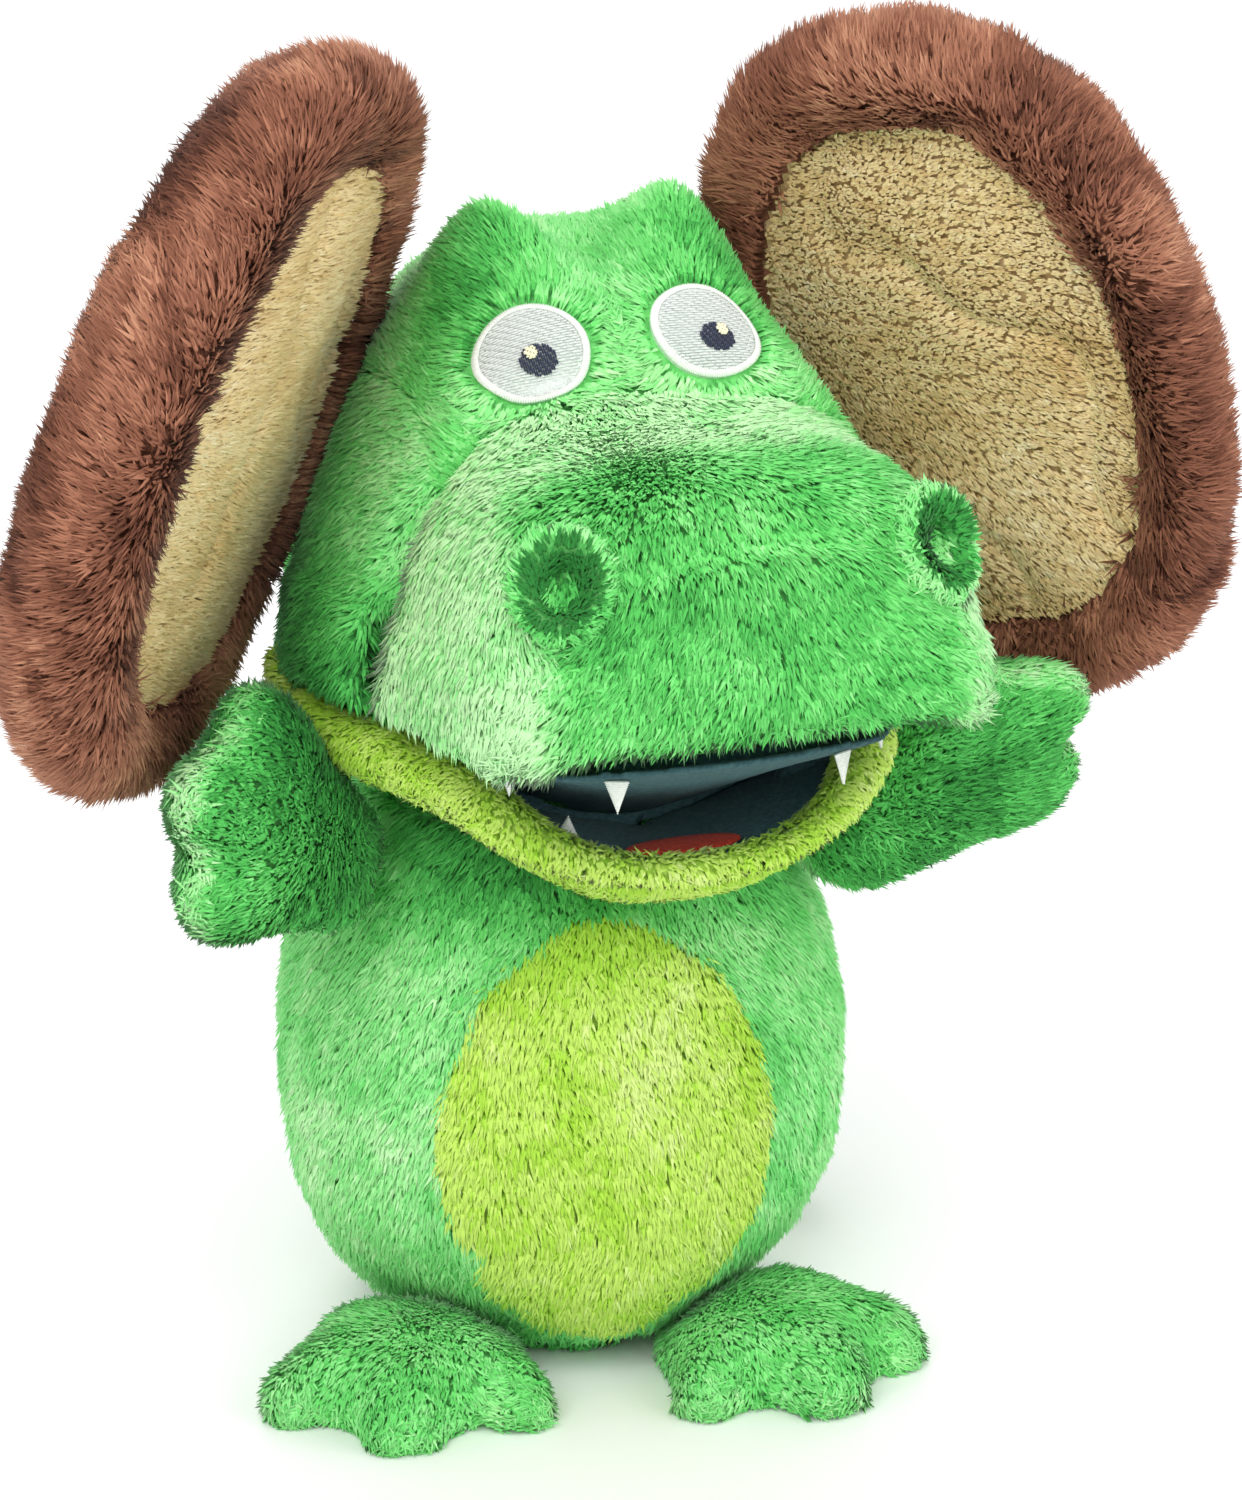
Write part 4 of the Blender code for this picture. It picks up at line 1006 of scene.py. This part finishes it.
def make_pupil(name, tree):
    """A pupil, whose threads run up and down, and the small light on its inner upper side."""
    eye, out, across, up, _ = EYES[name]
    points = node_points(f"pupil_{name}")
    reach = points - points.mean(axis=0)
    half = 0.92 * np.abs(reach @ across).max(), 0.92 * np.abs(reach @ up).max()
    middle = eye + 1.0 * MM * across - 2.4 * MM * up
    rows = oval_fill(middle, up, across, half[::-1], 0.42 * MM, 1.9 * MM)
    label = f"pupil_{name}"
    fill = embroider(f"{label}_fill", rows, tree, out, (0.45, 0.45), 0.24, NAVY_THREAD)
    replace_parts(fill, label)
    inward = -1 if name == "left" else 1
    glint = middle + 0.30 * half[0] * inward * across + 0.45 * half[1] * up
    rows = oval_fill(glint, across, up, (0.36 * half[0], 0.42 * half[1]), 0.36 * MM, 1.6 * MM)
    embroider(f"{label}_glint", rows, tree, out, (0.85, 0.85), 0.22, CREAM_THREAD)


def make_eyes(head):
    points, _, faces = mesh_arrays(head.data)
    tree = BVHTree.FromPolygons(points.tolist(), faces.tolist())
    for name in EYES:
        make_eye(name, tree)


def make_tooth(node, body):
    """A satin-stitched triangle: threads across it, shorter towards the tip."""
    points = np.unique(np.round(node_points(node), 5), axis=0)
    upper = body == "head"
    height = points[:, 2]
    tip = points[np.argmin(height)] if upper else points[np.argmax(height)]
    outward = unit((points.mean(axis=0) - from_head(0, joint_ahead(), 0)) * [1, 1, 0])
    inward = -HEAD_SIDE * np.sign(in_head(points)[0].mean())
    out_of_the_pile = 3.0 * outward + 3.0 * inward + 1.0 * UP if upper else 1.2 * UP - 1.2 * outward
    points = points + out_of_the_pile * MM
    tip = tip + out_of_the_pile * MM
    far = points[np.argsort(-np.linalg.norm(points - tip, axis=1))[:4]]
    gaps = np.linalg.norm(far[:, None] - far[None], axis=2)
    i, j = np.unravel_index(np.argmax(gaps), gaps.shape)
    left, right = far[i], far[j]
    out = unit(np.cross(right - left, tip - left))
    if out @ HEAD_AHEAD < 0:
        out = -out
    rows = int(np.linalg.norm(tip - (left + right) / 2) / THREAD)
    shares = (np.arange(rows) + 0.3) / rows
    starts = np.array([left + s * (tip - left) for s in shares])
    ends = np.array([right + s * (tip - right) for s in shares])
    piece = stitches(f"{node}_stitched", starts, ends, out, THREAD, WHITE_THREAD)
    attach(piece, body)
    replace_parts(piece, node)


# Ears, arms, feet and tail -------------

EAR_FOLD = 26 * MM  # about how far apart an ear's folds are
EAR_SEED = 11


def limb_axes(joint_name, middle):
    """The joint's place and the direction from it towards the limb's middle."""
    at = np.array(joint(joint_name)["pos_m"])
    return at, unit(middle - at)


def ear_front(face, filling):
    """The direction that an ear's face looks in."""
    middle = face.mean(axis=0)
    flattest = unit(np.linalg.svd(face - middle)[2][2])
    return flattest * np.sign(flattest @ unit(middle - filling.mean(axis=0)))


def make_ear(name):
    """An ear: long brown pile round its back and rim, with painted light at its edge and painted shade in
    its folds, and short tan pile in fine rows on its face.
    """
    nodes = [f"ear_{name}_back_skin", f"ear_{name}_face"]
    stuffing = f"ear_{name}_stuffing"
    shell = backing(f"ear_{name}_backing", nodes + [stuffing], "brown", rounds=10)
    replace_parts(shell, *nodes, stuffing)
    crumple(shell, EAR_FOLD, 1.2 * MM, EAR_SEED)
    dye(shell, lambda middles: nearest_node(middles, nodes) == 1, BACKINGS["tan"])
    face = node_points(nodes[1])
    middle = face.mean(axis=0)
    front = ear_front(face, node_points(stuffing))
    places, upward = scatter(shell)
    which = nearest_node(places, nodes)
    reach = places - middle
    flat = reach - np.outer(reach @ front, front)
    outward = unit(flat)
    turned = (upward @ front)[:, None]
    rim = 0.8 * outward - 0.9 * front * (1 - turned) + 0.25 * UP
    brown, tan = which == 0, which == 1
    # painted light on the rim, where the surface turns away from the ear's front, and painted shade along
    # the folds
    edge = 1 - np.abs(upward[brown] @ front)
    tone = -0.10 + 0.35 * cloud(places[brown], 18 * MM, 7) + 0.35 * ease(edge, 0.6, 1.0)
    tone = tone - 0.6 * folds(places[brown], EAR_FOLD, EAR_SEED)
    brown_pile = pile(
        f"ear_{name}_pile", None, places[brown], upward[brown], rim[brown], tone, "brown", 6.6,
        lean=0.72, wild=0.6, clumped=0.6,
    )
    rows = np.sin(places[tan][:, 2] / (0.55 * MM) + 2 * cloud(places[tan], 9 * MM, 8))
    comb = outward[tan] * 0.4 + unit(np.cross(UP, front)) * 1.0 + 0.15 * UP
    tone = 0.30 + 0.14 * rows - 0.40 * ease(np.linalg.norm(flat[tan], axis=1) / MM, 38, 60)
    tan_pile = pile(
        f"ear_{name}_face_pile", None, places[tan], upward[tan], comb, tone, "tan", 3.4,
        lean=0.78, wild=0.25, clumped=0.3,
    )
    at, along = limb_axes(f"ear_{name}_flap", middle)
    blend_all([shell, *brown_pile, *tan_pile], "head", f"ear_{name}", at, along, -8, 10)


def blend_all(made, parent, child, at, along, before, after):
    """Bake each piece's placement into its own mesh."""
    for piece in made:
        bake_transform(piece)


def make_limb(name, parent, joint_name, nodes, tones, length, stretch, fringe=0.9):
    """An arm, foot or tail: a backing with darker panels of painted shade and a lighter fringe of painted
    light along its seam.
    """
    shell = backing(f"{name}_backing", nodes, "green", rounds=8)
    crumple(shell, 18 * MM, 0.7 * MM, 13)
    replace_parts(shell, *nodes)
    skins = [n for n in nodes if not n.endswith("stuffing")]
    places, upward = scatter(shell)
    middle = node_points(*skins).mean(axis=0)
    at, along = limb_axes(joint_name, middle)
    if name.startswith("foot"):
        standing = ~((places[:, 2] < 1.6 * MM) & (upward[:, 2] < -0.6))
        places, upward = places[standing], upward[standing]
    which = nearest_node(places, skins)
    # painted shade: each panel's tone, darker on the palms and soles
    tone = np.take(tones, which)
    if len(skins) == 2:
        other = [nearest_distance(places, node) for node in skins]
        seam = 1 - ease(np.abs(other[0] - other[1]) / MM, 0.5, 4.5)
        # painted light: a lighter fringe along the seam between the two panels
        tone = tone + fringe * seam
    comb = 0.8 * along + 0.5 * unit(places - middle) - 0.35 * UP
    made = [shell] + pile(f"{name}_pile", None, places, upward, comb, tone, "green", length)
    blend_all(made, parent, name, at, along, *stretch)


# What stays from the CAD ---------------


def dress_cad_nodes():
    """Give the pieces inside the puppet their cloth and board."""
    looks = {
        "pellet_bag": BAG,
        "hand_sleeve": LINING,
        "finger_pocket": LINING,
        "thumb_pocket": LINING,
        "opening_binding": LINING,
        "lower_mouth_plate": BOARD,
    }
    for name, material in looks.items():
        node = frame["nodes"][name]
        node.data.materials.clear()
        node.data.materials.append(material)
        rounded = node.modifiers.new("rounded edges", "BEVEL")
        rounded.width = 0.3 * MM
        rounded.segments = 2
        rounded.limit_method = "ANGLE"


# Stage ---------------------------------


def make_stage():
    points = [(-4, -3, 0), (4, -3, 0), (4, 6, 0), (-4, 6, 0)]
    material, _, shader = shader_of("pale_floor")
    shader.inputs["Base Color"].default_value = (0.93, 0.93, 0.93, 1)
    shader.inputs["Roughness"].default_value = 0.6
    new_piece("floor", points, [(0, 1, 2, 3)], [material])
    world = bpy.data.worlds.new("studio")
    world.use_nodes = True
    sky = world.node_tree.nodes["Background"].inputs
    sky["Color"].default_value = (1, 1, 1, 1)
    sky["Strength"].default_value = 0.92
    bpy.context.scene.world = world
    bpy.context.scene.view_settings.view_transform = "Standard"
    add_light("key", (-0.55, -1.0, 1.15), 1.1, 11)
    add_light("fill", (0.95, -0.9, 0.7), 1.2, 5)
    add_light("back", (0.2, 1.1, 1.2), 1.0, 5)


def add_light(name, place, size, power):
    data = bpy.data.lights.new(name, "AREA")
    data.shape = "DISK"
    data.size = size
    data.energy = power
    light = bpy.data.objects.new(name, data)
    light.location = place
    light.rotation_euler = (Vector((0, 0, 0.12)) - Vector(place)).to_track_quat("-Z", "Y").to_euler()
    bpy.context.scene.collection.objects.link(light)


def make_camera():
    """Looks from the front, a little from the left and well from above, at the puppet's middle."""
    turn, rise = math.radians(-12), math.radians(19.5)
    distance, width_seen = 1.0, 0.2484  # metres, the width at the puppet's middle
    shift = 12 * MM  # the puppet's middle lies this far to the right of the origin
    target = Vector((shift * math.cos(turn), shift * math.sin(turn), 120 * MM))
    back = Vector((math.sin(turn) * math.cos(rise), -math.cos(turn) * math.cos(rise), math.sin(rise)))
    data = bpy.data.cameras.new("camera")
    data.sensor_fit = "HORIZONTAL"
    data.lens = data.sensor_width * distance / width_seen
    camera = bpy.data.objects.new("camera", data)
    camera.location = target + back * distance
    camera.rotation_euler = (-back).to_track_quat("-Z", "Y").to_euler()
    bpy.context.scene.collection.objects.link(camera)
    bpy.context.scene.camera = camera


def main():
    make_body()
    make_neck()
    head = make_head()
    make_jaw()
    make_lip()
    make_roof()
    softened("lower_mouth_lining", "felt_floor", FELT_LIGHTENED, "jaw")
    softened("tongue", "red_tongue", RED_FELT, "jaw")
    make_fold()
    make_eyes(head)
    for number in range(1, 5):
        make_tooth(f"tooth_upper_{number}", "head")
    for number in (1, 2):
        make_tooth(f"tooth_lower_{number}", "jaw")
    for name in ("left", "right"):
        make_ear(name)
        arm = [f"arm_{name}_palm", f"arm_{name}_back", f"arm_{name}_stuffing"]
        make_limb(f"arm_{name}", "body", f"arm_{name}_swing", arm, (-0.5, -0.15), 4.6, (-6, 10))
        foot = [f"foot_{name}_sole", f"foot_{name}_upper", f"foot_{name}_stuffing"]
        make_limb(f"foot_{name}", "body", f"foot_{name}_tilt", foot, (-0.1, 0.15), 4.2, (-4, 8), 0.3)
    tail = ["tail_skin", "tail_stuffing"]
    make_limb("tail", "body", "tail_wag", tail, (-0.2,), 4.6, (-6, 8))
    dress_cad_nodes()
    make_stage()
    make_camera()


main()
